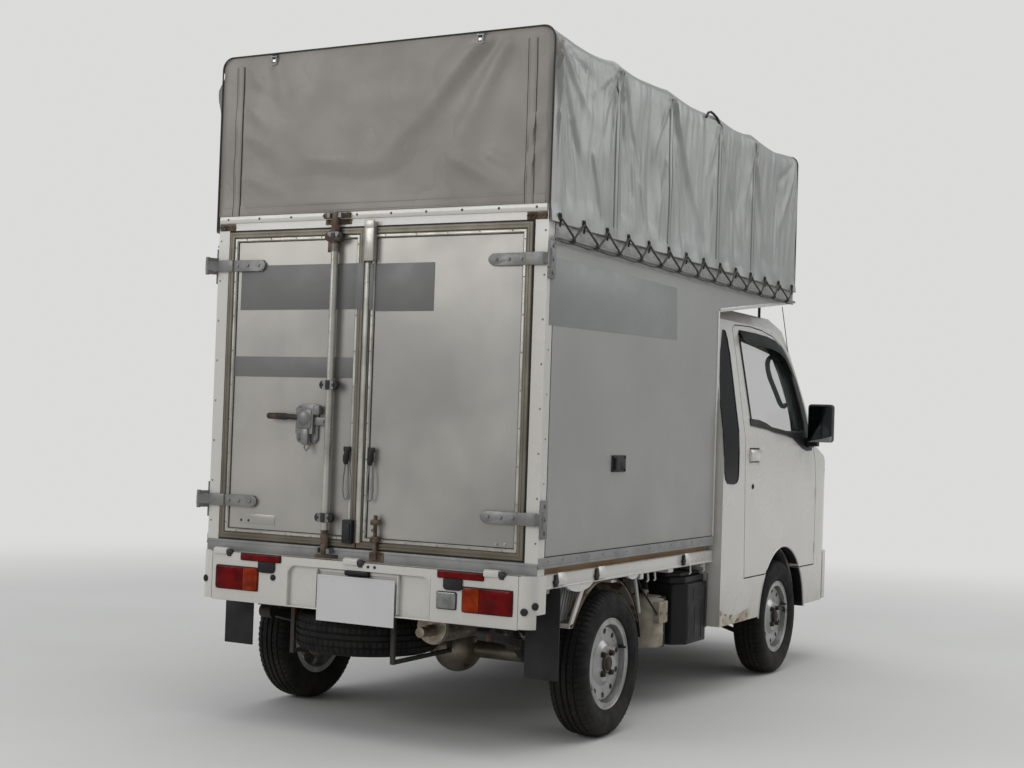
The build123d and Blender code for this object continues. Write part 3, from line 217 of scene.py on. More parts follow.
DUST = (0.50, 0.46, 0.40)
RUST = (0.33, 0.20, 0.13)
MATERIALS = {}
for entry in (
    # name, colour, second colour, then what differs from the usual
    ("tyre_black", (0.058, 0.056, 0.054), (0.092, 0.088, 0.082),
     dict(blotch=8, rough=(0.7, 0.9), grain=(300, 0.25),
     specular=0.3, dirt=((0.27, 0.25, 0.22), 0.0, 0.30, 0.28))),
    ("wheel_silver", (0.66, 0.66, 0.66), (0.58, 0.58, 0.57), dict(metal=0.65, rough=(0.28, 0.42), blotch=14,
     rust=((0.30, 0.25, 0.20), 0.66, 26.0))),
    ("spare_black", (0.10, 0.10, 0.10), (0.15, 0.14, 0.13), dict(rough=(0.45, 0.7), rust=(RUST, 0.60, 22.0))),
    ("dark_steel", (0.085, 0.085, 0.085), (0.14, 0.13, 0.12), dict(rough=(0.5, 0.8), rust=(RUST, 0.58, 15.0),
     dirt=((0.25, 0.23, 0.20), 0.2, 0.6, 0.5))),
    ("hub_iron", (0.16, 0.14, 0.125), (0.23, 0.18, 0.145), dict(metal=0.3, rough=(0.5, 0.8), blotch=20)),
    ("white_paint", (0.765, 0.755, 0.73), (0.75, 0.74, 0.715),
     dict(rough=(0.22, 0.34), coat=0.5, grain=(60, 0.02),
     blotch=1.6, streak=((0.70, 0.68, 0.62), 0.16, (3.0, 3.0, 0.5)), dirt=(DUST, 0.22, 0.55, 0.40),
     rust=((0.45, 0.33, 0.24), 0.755, 30.0))),
    ("sill_dirt", (0.72, 0.70, 0.65), (0.60, 0.55, 0.46), dict(rough=(0.4, 0.7), blotch=16, grain=(60, 0.1),
     rust=((0.42, 0.29, 0.18), 0.56, 34.0))),
    ("box_aluminium", (0.60, 0.60, 0.585), (0.575, 0.575, 0.56),
     dict(rough=(0.34, 0.5), metal=0.25, blotch=1.6,
     streak=((0.58, 0.58, 0.57), 0.35, (7.0, 7.0, 0.5)), grain=(90, 0.06), dirt=(DUST, 0.62, 0.80, 0.3))),
    ("door_aluminium", (0.665, 0.65, 0.625), (0.555, 0.548, 0.53),
     dict(rough=(0.28, 0.42), metal=0.5, blotch=1.2,
     streak=((0.50, 0.50, 0.50), 0.40, (3.2, 3.2, 0.25)), grain=(150, 0.10), weave=(6.0, 6.0, 0.35),
     waves=(2.2, 2.0, None))),
    ("frame_aluminium", (0.445, 0.42, 0.37), (0.385, 0.362, 0.318),
     dict(rough=(0.32, 0.46), metal=0.5, blotch=6,
     grain=(200, 0.1), dirt=((0.36, 0.31, 0.24), 0.62, 0.9, 0.45))),
    ("bright_aluminium", (0.70, 0.69, 0.66), (0.60, 0.59, 0.56),
     dict(rough=(0.25, 0.4), metal=0.7, blotch=8)),
    ("galvanised", (0.49, 0.49, 0.485), (0.43, 0.43, 0.425), dict(rough=(0.38, 0.52), metal=0.5, blotch=12,
     rust=(RUST, 0.74, 30.0))),
    ("rusty_paint", (0.56, 0.53, 0.47), (0.42, 0.34, 0.25), dict(rough=(0.6, 0.85), blotch=7,
     rust=((0.30, 0.20, 0.13), 0.52, 12.0), dirt=((0.28, 0.25, 0.21), 0.25, 0.60, 0.5))),
    ("rusty_steel", (0.42, 0.37, 0.31), (0.27, 0.20, 0.15), dict(rough=(0.6, 0.9), metal=0.2, blotch=34)),
    ("canister_paint", (0.64, 0.61, 0.55), (0.50, 0.45, 0.37), dict(rough=(0.5, 0.75), blotch=14,
     rust=((0.33, 0.23, 0.15), 0.60, 22.0))),
    # The axle's bright metal colour is partly painted light: it brightens the housing to stand in for the
    # strong light from below; its rust is real.
    ("axle_metal_painted_light", (0.58, 0.55, 0.50), (0.42, 0.38, 0.33), dict(rough=(0.3, 0.5), metal=0.7, blotch=7,
     rust=((0.30, 0.23, 0.17), 0.66, 14.0))),
    ("bright_galvanised", (0.72, 0.72, 0.71), (0.62, 0.62, 0.61),
     dict(rough=(0.25, 0.4), metal=0.8, blotch=20)),
    ("tarpaulin", (0.555, 0.56, 0.55), (0.515, 0.52, 0.51),
     dict(rough=(0.30, 0.42), blotch=2.0, grain=(900, 0.12),
     metal=0.2, streak=((0.46, 0.455, 0.44), 0.40, (5.0, 5.0, 0.6)), waves=(26.0, 5.0, (1.0, 1.0, 0.35)),
     folds=((6.5, 6.5, 1.3), 0.0042))),
    ("tarpaulin_rear", (0.52, 0.50, 0.475), (0.48, 0.46, 0.435), dict(rough=(0.42, 0.55), blotch=2.4,
     grain=(900, 0.12), streak=((0.44, 0.425, 0.40), 0.4, (3.0, 3.0, 1.2)), waves=(20.0, 3.0, None),
     folds=((4.0, 4.0, 3.0), 0.004))),
    ("plywood", (0.62, 0.50, 0.35), (0.54, 0.42, 0.28), dict(rough=(0.6, 0.8), blotch=2, grain=(160, 0.3),
     streak=((0.40, 0.30, 0.20), 0.5, (1.0, 12.0, 12.0)))),
    ("lens_red", (0.42, 0.018, 0.02), (0.31, 0.010, 0.014), dict(rough=(0.10, 0.2), blotch=22, specular=0.12,
     grain=(500, 0.1))),
    ("lens_amber", (0.56, 0.185, 0.03), (0.43, 0.125, 0.02), dict(rough=(0.10, 0.2), blotch=26, specular=0.12,
     grain=(500, 0.1))),
    ("lens_clear", (0.49, 0.495, 0.48), (0.39, 0.395, 0.38),
     dict(rough=(0.08, 0.16), blotch=24, coat=0.3, metal=0.2)),
    ("plate_white", (0.76, 0.76, 0.755), (0.735, 0.735, 0.73), dict(rough=(0.35, 0.45))),
    ("black_plastic", (0.045, 0.045, 0.047), (0.068, 0.068, 0.07), dict(rough=(0.4, 0.55), grain=(400, 0.2),
     specular=0.3)),
    ("dull_metal", (0.36, 0.35, 0.33), (0.27, 0.26, 0.24), dict(rough=(0.4, 0.6), metal=0.6, blotch=16)),
    ("door_lining", (0.43, 0.44, 0.45), (0.40, 0.41, 0.42), dict(rough=(0.55, 0.7), grain=(700, 0.3))),
    ("dash_plastic", (0.30, 0.31, 0.33), (0.26, 0.27, 0.29), dict(rough=(0.5, 0.65), grain=(500, 0.35))),
    ("seat_cloth", (0.34, 0.35, 0.38), (0.28, 0.29, 0.32), dict(rough=(0.8, 0.95), grain=(900, 0.6))),
    ("exhaust_steel", (0.62, 0.59, 0.54), (0.44, 0.38, 0.31), dict(metal=0.8, rough=(0.25, 0.45), blotch=12)),
    ("black_rubber", (0.045, 0.045, 0.045), (0.07, 0.07, 0.067), dict(rough=(0.6, 0.8), grain=(200, 0.3))),
    ("grey_tape", (0.41, 0.408, 0.405), (0.385, 0.383, 0.38),
     dict(rough=(0.42, 0.55), blotch=4, grain=(120, 0.1))),
    ("side_tape", (0.51, 0.515, 0.512), (0.495, 0.50, 0.497),
     dict(rough=(0.36, 0.5), blotch=4, grain=(120, 0.1))),
    ("sill_grey", (0.55, 0.552, 0.545), (0.49, 0.492, 0.485), dict(rough=(0.4, 0.55), metal=0.3, blotch=9)),
    ("rope", (0.22, 0.215, 0.205), (0.32, 0.31, 0.30), dict(rough=(0.8, 0.95), blotch=60, grain=(700, 0.8))),
    ("sun_visor", (0.035, 0.035, 0.038), (0.048, 0.048, 0.05), dict(rough=(0.3, 0.4), specular=0.04)),
    # The mirror glass's dark colour is a painted reflection: it is darkened to stand in for the dark things
    # it reflects.
    ("mirror_glass", (0.22, 0.23, 0.24), (0.18, 0.19, 0.20), dict(rough=(0.02, 0.05), metal=1.0)),
    ("dark_seam", (0.12, 0.12, 0.118), (0.17, 0.165, 0.16), dict(rough=(0.6, 0.8))),
    ("stitching", (0.52, 0.51, 0.49), (0.46, 0.45, 0.435), dict(rough=(0.5, 0.6), grain=(1400, 0.6))),
    ("glass_clear", (0.30, 0.35, 0.34), (0.27, 0.32, 0.31),
     dict(rough=(0.01, 0.03), alpha=0.13, grain=(40, 0.01))),
    ("glass_dark", (0.03, 0.033, 0.033), (0.04, 0.043, 0.043), dict(rough=(0.06, 0.12), specular=0.05)),
):
    MATERIALS[entry[0]] = finish_material(entry[0], entry[1], entry[2], **entry[3])


# The rear axle's finish is partly painted light, a brighter metal than the housing's own colour.
OWN_FINISH = {"box_portal": "white_paint", "rear_axle": "axle_metal_painted_light"}


def paint_cad():
    """Every CAD node takes the material of its slot, but for the few with a finish of their own."""
    slots = {part["node"]: part["material_slot"] for part in frame["record"]["subparts"]}
    for name, obj in frame["nodes"].items():
        wanted = MATERIALS[OWN_FINISH.get(name, slots[name])]
        obj.data.materials.clear()
        obj.data.materials.append(wanted)


paint_cad()


# Building pieces

class Form:
    """Collects simple solids into one mesh piece."""

    def __init__(self):
        self.bm = bmesh.new()

    def box(self, x, y, z, bevel=0.0015, turn=None):
        """A box between two values on each axis, turned about its middle."""
        size = [b - a for a, b in (x, y, z)]
        middle = Vector([(a + b) / 2 for a, b in (x, y, z)])
        turned = Matrix.Translation(middle) @ (turn.to_4x4() if turn else Matrix())
        made = bmesh.ops.create_cube(self.bm, size=1, matrix=turned @ Matrix.Diagonal((*size, 1)))
        if bevel:
            edges = dict.fromkeys(edge for vert in made["verts"] for edge in vert.link_edges)
            bmesh.ops.bevel(self.bm, geom=list(edges), offset=min(bevel, min(size) * 0.4), segments=2,
                            affect="EDGES", profile=0.5)
        return self

    def prism(self, outline, span, axis="x", bevel=0.0):
        """An outline carried along an axis: (y, z) along x, (x, z) along y or (x, y) along z."""
        def at(a, b, c):
            return {"x": (c, a, b), "y": (a, c, b), "z": (a, b, c)}[axis]
        low = [self.bm.verts.new(at(a, b, span[0])) for a, b in outline]
        high = [self.bm.verts.new(at(a, b, span[1])) for a, b in outline]
        faces = [self.bm.faces.new(low), self.bm.faces.new(high[::-1])]
        for i in range(len(outline)):
            j = (i + 1) % len(outline)
            faces.append(self.bm.faces.new((low[i], high[i], high[j], low[j])))
        if bevel:
            edges = dict.fromkeys(edge for face in faces for edge in face.edges)
            bmesh.ops.bevel(self.bm, geom=list(edges), offset=bevel, segments=2, affect="EDGES", profile=0.5)
        return self

    def tube(self, points, radius, sides=8, closed=False):
        """A round bar along points."""
        points = [Vector(p) for p in points]
        count = len(points)
        rings = []
        normal = None
        for i, point in enumerate(points):
            before = points[(i - 1) % count] if closed or i else point
            after = points[(i + 1) % count] if closed or i < count - 1 else point
            along = (after - before).normalized()
            if normal is None:
                normal = along.orthogonal().normalized()
            normal = (normal - along * normal.dot(along)).normalized()
            other = along.cross(normal)
            rings.append([self.bm.verts.new(point + radius * (normal * math.cos(t) + other * math.sin(t)))
                          for t in (2 * math.pi * k / sides for k in range(sides))])
        for i in range(count if closed else count - 1):
            a, b = rings[i], rings[(i + 1) % count]
            shift = 0
            if closed and i == count - 1:
                shift = min(range(sides), key=lambda s: (a[0].co - b[s].co).length)
            for k in range(sides):
                l = (k + 1) % sides
                self.bm.faces.new((a[k], a[l], b[(l + shift) % sides], b[(k + shift) % sides]))
        if not closed:
            self.bm.faces.new(rings[0][::-1])
            self.bm.faces.new(rings[-1])
        return self

    def loft(self, rows, closed=False, caps=()):
        """A skin through rows of points, joined round when closed, with the rows named in caps filled."""
        rows = [[self.bm.verts.new(point) for point in row] for row in rows]
        count = len(rows[0])
        for a, b in zip(rows, rows[1:]):
            for k in range(count if closed else count - 1):
                l = (k + 1) % count
                self.bm.faces.new((a[k], a[l], b[l], b[k]))
        for row in caps:
            self.bm.faces.new(rows[row])
        return self

    def lathe(self, profile, centre, axis, sides=24):
        """A profile of (along, radius) turned about an axis through centre."""
        axis = Vector(axis).normalized()
        normal = axis.orthogonal().normalized()
        other = axis.cross(normal)
        centre = Vector(centre)
        rings = []
        for along, radius in profile:
            if radius < 1e-6:
                rings.append([self.bm.verts.new(centre + axis * along)])
                continue
            hub = centre + axis * along
            rings.append([self.bm.verts.new(hub + radius * (normal * math.cos(t) + other * math.sin(t)))
                          for t in (2 * math.pi * k / sides for k in range(sides))])
        for a, b in zip(rings, rings[1:]):
            for k in range(sides):
                l = (k + 1) % sides
                corners = [a[k % len(a)], a[l % len(a)], b[l % len(b)], b[k % len(b)]]
                unique = list(dict.fromkeys(corners))
                if len(unique) > 2:
                    self.bm.faces.new(unique)
        return self

    def bolt(self, at, normal, radius=0.007, height=0.005, sides=6):
        """A hexagon head with a washer, standing on a face."""
        profile = ((-0.001, 0), (-0.001, radius * 1.45), (height * 0.2, radius * 1.45),
                   (height * 0.2, radius), (height * 0.85, radius), (height, radius * 0.8), (height, 0))
        return self.lathe(profile, at, normal, sides)

    def rivet(self, at, normal, radius=0.004, height=0.002):
        """A low round head, standing on a face."""
        top = ((height * 0.5, radius * 0.9), (height, radius * 0.4), (height, 0))
        return self.lathe(((-0.0005, 0), (-0.0005, radius)) + top, at, normal, 8)

    def ring_frame(self, x, z, profile, y):
        """A mitred frame round a rectangle; the profile is (inset, how far it stands out at -Y)."""
        corners = ((x[0], z[0], 1, 1), (x[1], z[0], -1, 1), (x[1], z[1], -1, -1), (x[0], z[1], 1, -1))
        loops = []
        for inset, out in profile:
            loops.append([self.bm.verts.new((cx + sx * inset, y - out, cz + sz * inset))
                          for cx, cz, sx, sz in corners])
        count = len(profile)
        for i in range(count):
            a, b = loops[i], loops[(i + 1) % count]
            for k in range(4):
                l = (k + 1) % 4
                self.bm.faces.new((a[k], a[l], b[l], b[k]))
        return self

    def mesh(self, name, sharp=None):
        """The finished mesh; with sharp given, it is smooth but for edges of more degrees than that."""
        bmesh.ops.recalc_face_normals(self.bm, faces=self.bm.faces[:])
        if sharp:
            for edge in self.bm.edges:
                edge.smooth = edge.calc_face_angle(0) < math.radians(sharp)
            for face in self.bm.faces:
                face.smooth = True
        mesh = bpy.data.meshes.new(name)
        self.bm.to_mesh(mesh)
        self.bm.free()
        return mesh

    def done(self, name, material, body="truck", sharp=35, slot=None, replaces=()):
        return place(self.mesh(name, sharp), name, material, body, replaces)


def place(mesh, name, material, body, replaces=()):
    """Adds a mesh as a piece that rides a body, with the material given."""
    obj = bpy.data.objects.new(name, mesh)
    mesh.materials.append(MATERIALS[material])
    bpy.context.scene.collection.objects.link(obj)
    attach(obj, body)
    if replaces:
        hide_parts(*replaces)
    return obj


def pair(side, a, b):
    """Two distances from the middle on one side, the lower x first."""
    return sorted((side * a, side * b))


def thicken(piece, thickness, offset=-1):
    """Gives a sheet its thickness, inwards at -1 and outwards at 1."""
    solid = piece.modifiers.new("thickness", "SOLIDIFY")
    solid.thickness = thickness
    solid.offset = offset


def surface_of(meshes):
    """A tree that finds places on some meshes."""
    bm = bmesh.new()
    for mesh in meshes:
        bm.from_mesh(mesh)
    tree = BVHTree.FromBMesh(bm)
    bm.free()
    return tree


# Canopy: one sheet over the bows, worked out as distances along its outline and along the truck

CLOTH_STAND = 0.0045
CLOTH_X = BOX_X + CLOTH_STAND
CLOTH_REAR = BOX_REAR - CLOTH_STAND
CLOTH_FRONT = OVERHANG_FRONT + CLOTH_STAND
CLOTH_TOP = TOP - 0.001
CORNER = 0.045
SIDE_ROWS = 43
ROOF_COLUMNS = 61
STATIONS = 260
SAG_AT_EDGE = 0.011
SAG_IN_MIDDLE = 0.028
SIDE_CREASES = (
    # start y, start z, end y, end z, width, height
    (-1.655, 2.47, -1.555, 1.90, 0.016, 0.015), (-1.655, 2.44, -1.47, 1.92, 0.020, 0.014),
    (-1.650, 2.46, -1.38, 2.02, 0.020, -0.012), (-1.645, 2.47, -1.34, 2.25, 0.018, 0.013),
    (-1.60, 2.46, -1.30, 2.36, 0.014, -0.009), (-1.62, 2.20, -1.60, 1.90, 0.014, 0.010),
    (-1.48, 2.20, -1.40, 1.90, 0.024, -0.010), (-1.14, 2.47, -1.26, 2.22, 0.014, 0.014),
    (-1.14, 2.46, -1.36, 2.33, 0.014, 0.012), (-1.13, 2.44, -1.22, 2.28, 0.012, -0.010),
    (-1.12, 2.46, -1.03, 2.16, 0.014, 0.013), (-1.11, 2.47, -0.88, 2.12, 0.016, 0.012),
    (-1.12, 2.40, -0.98, 2.02, 0.016, -0.010), (-1.15, 2.38, -1.20, 1.90, 0.012, 0.010),
    (-1.08, 2.35, -1.06, 1.90, 0.013, -0.009), (-0.98, 2.20, -0.94, 1.90, 0.014, 0.008),
    (-0.63, 2.47, -0.78, 2.20, 0.014, 0.013), (-0.62, 2.45, -0.72, 2.28, 0.012, -0.009),
    (-0.61, 2.46, -0.48, 2.22, 0.014, 0.012), (-0.60, 2.42, -0.36, 2.00, 0.020, -0.011),
    (-0.60, 2.44, -0.22, 1.95, 0.020, 0.012), (-0.58, 2.30, -0.50, 1.90, 0.014, 0.009),
    (-0.66, 2.20, -0.74, 1.90, 0.016, 0.008), (-0.09, 2.47, -0.20, 2.22, 0.014, 0.012),
    (-0.08, 2.46, 0.05, 2.20, 0.014, 0.011), (-0.07, 2.44, 0.16, 2.05, 0.018, -0.010),
    (-0.06, 2.42, 0.24, 1.95, 0.018, 0.011), (-0.12, 2.25, -0.16, 1.90, 0.014, 0.008),
    (0.36, 2.47, 0.26, 2.18, 0.014, 0.012), (0.365, 2.46, 0.50, 2.15, 0.016, 0.011),
    (0.37, 2.42, 0.46, 1.95, 0.016, -0.010), (0.38, 2.38, 0.58, 1.95, 0.018, 0.010),
    (0.33, 2.25, 0.30, 1.90, 0.013, 0.008), (0.95, 2.45, 0.76, 2.12, 0.018, 0.012),
    (0.955, 2.42, 0.86, 1.95, 0.014, 0.011), (0.95, 2.46, 0.70, 2.32, 0.014, -0.009),
    (0.72, 2.30, 0.66, 1.92, 0.016, -0.008), (-1.32, 2.12, -1.24, 1.88, 0.016, 0.010),
    (-0.90, 2.08, -0.83, 1.88, 0.018, 0.009), (0.12, 2.10, 0.10, 1.88, 0.016, 0.008),
)
REAR_CREASES = (
    # start x, start z, end x, end z, width, height
    (0.44, 2.47, 0.00, 2.06, 0.050, 0.022), (0.52, 2.44, 0.30, 2.06, 0.042, 0.020),
    (0.48, 2.45, 0.14, 2.05, 0.040, -0.014), (0.40, 2.47, 0.10, 2.28, 0.045, 0.014),
    (-0.57, 2.46, -0.46, 2.20, 0.036, 0.014), (-0.57, 2.38, -0.40, 2.26, 0.026, -0.010),
    (-0.575, 2.30, -0.43, 2.16, 0.028, 0.012), (-0.575, 2.20, -0.42, 2.10, 0.026, 0.012),
    (-0.57, 2.10, -0.44, 2.03, 0.022, -0.009), (-0.575, 2.04, -0.42, 1.98, 0.024, 0.011),
    (-0.46, 2.47, -0.38, 2.20, 0.034, 0.012), (-0.36, 2.00, 0.34, 1.97, 0.060, -0.016),
    (-0.30, 2.10, 0.10, 2.05, 0.050, 0.010), (0.34, 2.06, 0.58, 1.93, 0.030, 0.015),
    (0.46, 2.08, 0.59, 2.00, 0.022, 0.012), (0.66, 2.20, 0.61, 2.05, 0.016, 0.008),
    (0.67, 2.10, 0.60, 1.93, 0.018, 0.010), (-0.675, 2.36, -0.64, 2.22, 0.012, 0.007),
    (-0.675, 2.16, -0.64, 2.04, 0.012, 0.007), (0.20, 2.40, 0.16, 2.20, 0.060, -0.010),
)


def creases(a, b, table):
    """How far the cloth stands out at (a, b) from all creases of a table."""
    out = np.zeros_like(a)
    for a0, b0, a1, b1, width, height in table:
        da, db = a1 - a0, b1 - b0
        length2 = da * da + db * db
        t = ((a - a0) * da + (b - b0) * db) / length2
        inside = np.clip(t, 0.0, 1.0)
        distance = np.hypot(a - a0 - inside * da, b - b0 - inside * db)
        spread = width * (0.6 + 1.1 * inside)
        ridge = np.maximum(0.0, 1 - distance / (1.6 * spread)) ** 1.5
        out += height * ridge * np.clip(1.2 - inside, 0.0, 1.0)
    return out


def near_bow(y):
    """0 on a bow and 1 midway between two, and the distance to the nearest bow."""
    share = np.zeros_like(y)
    for low, high in zip(BOWS, BOWS[1:]):
        t = (y - low) / (high - low)
        share = np.where((t > 0) & (t < 1), 4 * t * (1 - t), share)
    distance = np.min([np.abs(y - bow) for bow in BOWS], axis=0)
    return share, distance


def ripple(points, scale, seed):
    """Smooth noise at each point."""
    return np.array([noise.noise(Vector((p[0] * scale[0] + seed, p[1] * scale[1], p[2] * scale[2])))
                     for p in points])


def rear_height(x, z):
    """How far the rear or front face of the canopy stands out at x, z."""
    flat = np.stack([x, x * 0, z], 1)
    out = creases(x, z, REAR_CREASES)
    out += ripple(flat, (2.6, 1.0, 2.6), 21.0) * 0.008 + ripple(flat, (9.0, 1.0, 7.0), 5.0) * 0.003
    edge = np.clip(np.minimum(CLOTH_X - np.abs(x), CLOTH_TOP - z) / 0.05, 0, 1)
    low = np.clip((z - HEM_REAR) / 0.03, 0, 1)
    out = np.where(out < 0, out * np.clip((z - 1.91) / 0.05, 0, 1), out * (0.1 + 0.9 * low))
    return np.maximum(out, -0.004) * edge


def side_height(y, z, side):
    """How far the side of the canopy stands out at y, z."""
    share, distance = near_bow(y)
    up = np.clip((z - HEM_SIDE) / (TOP - HEM_SIDE), 0, 1)
    flat = creases(y + (0.03 if side < 0 else 0.0), z, SIDE_CREASES)
    flat += ripple(np.stack([y, z, y * 0], 1), (7.0, 1.6, 1.0), 3.0 * side) * 0.007
    flat += ripple(np.stack([y, z, y * 0], 1), (24.0, 5.0, 1.0), 7.0 * side) * 0.0035
    flat -= 0.013 * share * np.sin(np.pi * up)
    clear = np.clip(distance / 0.06, 0.0, 1.0) * np.clip((z - 1.885) / 0.05, 0.0, 1.0)
    flat = np.where(flat < 0, flat * clear, flat)
    return flat + 0.004 * np.clip(1 - up * 12, 0, 1) * (1 + np.sin(y * 34.0))


def cover_mesh():
    """The section from the left hem over the top to the right hem, carried along Y, with both ends closed."""
    heights = np.linspace(HEM_SIDE, CLOTH_TOP - CORNER, SIDE_ROWS)
    arc = np.linspace(0, math.pi / 2, 7)[1:-1]
    across = np.linspace(-(CLOTH_X - CORNER), CLOTH_X - CORNER, ROOF_COLUMNS)
    left = [(-CLOTH_X, z) for z in heights]
    left += [(-(CLOTH_X - CORNER) - CORNER * math.cos(t), CLOTH_TOP - CORNER + CORNER * math.sin(t))
             for t in arc]
    section = np.array(left + [(x, CLOTH_TOP) for x in across] + [(-x, z) for x, z in reversed(left)])
    stations = np.unique(np.concatenate([np.linspace(CLOTH_REAR, CLOTH_FRONT, STATIONS), BOWS]))
    rows = len(stations)
    count = len(section)
    grid = np.zeros((rows, count, 3))
    grid[:, :, 0] = section[None, :, 0]
    grid[:, :, 1] = stations[:, None]
    grid[:, :, 2] = section[None, :, 1]
    points = grid.reshape(-1, 3)
    shown = points.copy()
    share, distance = near_bow(points[:, 1])
    x, y, z = points.T
    corner_z = CLOTH_TOP - CORNER
    over = np.clip((z - corner_z + 0.03) / (CORNER + 0.03), 0, 1)
    for side in (-1, 1):
        face = (x * side > CLOTH_X - CORNER - 0.001)
        out = side_height(y[face], z[face], side) * np.clip((CLOTH_TOP - z[face]) / CORNER, 0.0, 1.0)
        shown[face, 0] += side * out
    ends = np.clip(np.minimum(y - CLOTH_REAR, CLOTH_FRONT - y) / 0.05, 0, 1)
    middle = 1 - np.clip(np.abs(x) / CLOTH_X, 0, 1) ** 2
    sag = share * (SAG_AT_EDGE + SAG_IN_MIDDLE * middle) * over
    sag += ripple(points, (5.0, 6.0, 5.0), 11.0) * 0.006 * over * np.clip(distance / 0.08, 0, 1) * ends
    shown[:, 2] -= np.maximum(sag, -0.002) * ends
    pull = over * share * 0.010 * np.clip(np.abs(x) / CLOTH_X, 0, 1) ** 6 * ends
    shown[:, 0] -= np.sign(x) * pull
    verts = [tuple(p) for p in shown]
    faces = []
    for i in range(rows - 1):
        for j in range(count - 1):
            a = i * count + j
            faces.append((a, a + 1, a + count + 1, a + count))
    end_parts = []
    for row, side, lowest in ((0, -1, HEM_REAR), (rows - 1, 1, HEM_SIDE)):
        first = int(np.argmax(heights >= lowest - 0.001))
        previous = None
        for j in range(first, len(left)):
            a, b = row * count + j, row * count + count - 1 - j
            line = [a]
            half = -section[j, 0]
            for x_step in across[1:-1]:
                x_at = x_step / (CLOTH_X - CORNER) * (half - 0.004)
                line.append(len(verts))
                verts.append((x_at, grid[row, 0, 1], float(section[j, 1])))
                end_parts.append((line[-1], side))
            line.append(b)
            if previous:
                for k in range(len(line) - 1):
                    faces.append((previous[k], previous[k + 1], line[k + 1], line[k]))
            previous = line
        top = [row * count + len(left) + k for k in range(len(across))]
        for k in range(len(across) - 1):
            faces.append((previous[k], previous[k + 1], top[k + 1], top[k]))
    index = np.array([i for i, _ in end_parts])
    sides = np.array([s for _, s in end_parts])
    base = np.array(verts)[index]
    for i, s, out in zip(index, sides, rear_height(base[:, 0], base[:, 2])):
        vx, vy, vz = verts[i]
        verts[i] = (vx, vy + s * out, vz)
    mesh = bpy.data.meshes.new("canopy")
    mesh.from_pydata(verts, [], faces)
    bm = bmesh.new()
    bm.from_mesh(mesh)
    bmesh.ops.recalc_face_normals(bm, faces=bm.faces[:])
    for face in bm.faces:
        face.smooth = True
        centre = face.calc_center_median()
        if centre.y < CLOTH_REAR + 0.02 and abs(face.normal.y) > 0.7:
            face.material_index = 1
    bm.to_mesh(mesh)
    bm.free()
    return mesh


canopy = place(cover_mesh(), "canopy", "tarpaulin", "truck", replaces=("canopy_cover",))
canopy.data.materials.append(MATERIALS["tarpaulin_rear"])
thicken(canopy, 0.0016)


def side_at(y, z, side, lift):
    """A point on the canopy's side, a little proud of it."""
    out = side_height(np.array([y]), np.array([z]), side)[0]
    return (side * (CLOTH_X + out + lift), y, z)


def rear_at(x, z, lift):
    """A point on the canopy's rear, a little proud of it."""
    return (x, CLOTH_REAR - rear_height(np.array([x]), np.array([z]))[0] - lift, z)


def ribbon(form, path, across, lift, point):
    """A flat band along path, width across, lying on the cloth."""
    da, db = across[0] / 2, across[1] / 2
    form.loft([[point(a + sign * da, b + sign * db, height)
                for sign, height in ((-1, 0.0), (-1, lift), (1, lift), (1, 0.0))] for a, b in path])


def upright(form, at, width, lift, point, low, high, steps):
    """A flat band up the cloth, at one place along or across it."""
    ribbon(form, [(at, z) for z in np.linspace(low, high, steps)], (width, 0.0), lift, point)


def rim_points():
    """The canopy's outline at one end, from the left hem over the top to the right hem."""
    rim = [(-CLOTH_X, HEM_SIDE + 0.004)]
    rim += [(-CLOTH_X, z) for z in np.linspace(1.9, CLOTH_TOP - CORNER, 8)]
    rim += [(-(CLOTH_X - CORNER) - CORNER * math.cos(t), CLOTH_TOP - CORNER + CORNER * math.sin(t))
            for t in np.linspace(0, math.pi / 2, 7)[1:]]
    rim += [(x, CLOTH_TOP) for x in np.linspace(-0.5, 0.0, 3)]
    return rim + [(-x, z) for x, z in reversed(rim[:-1])]


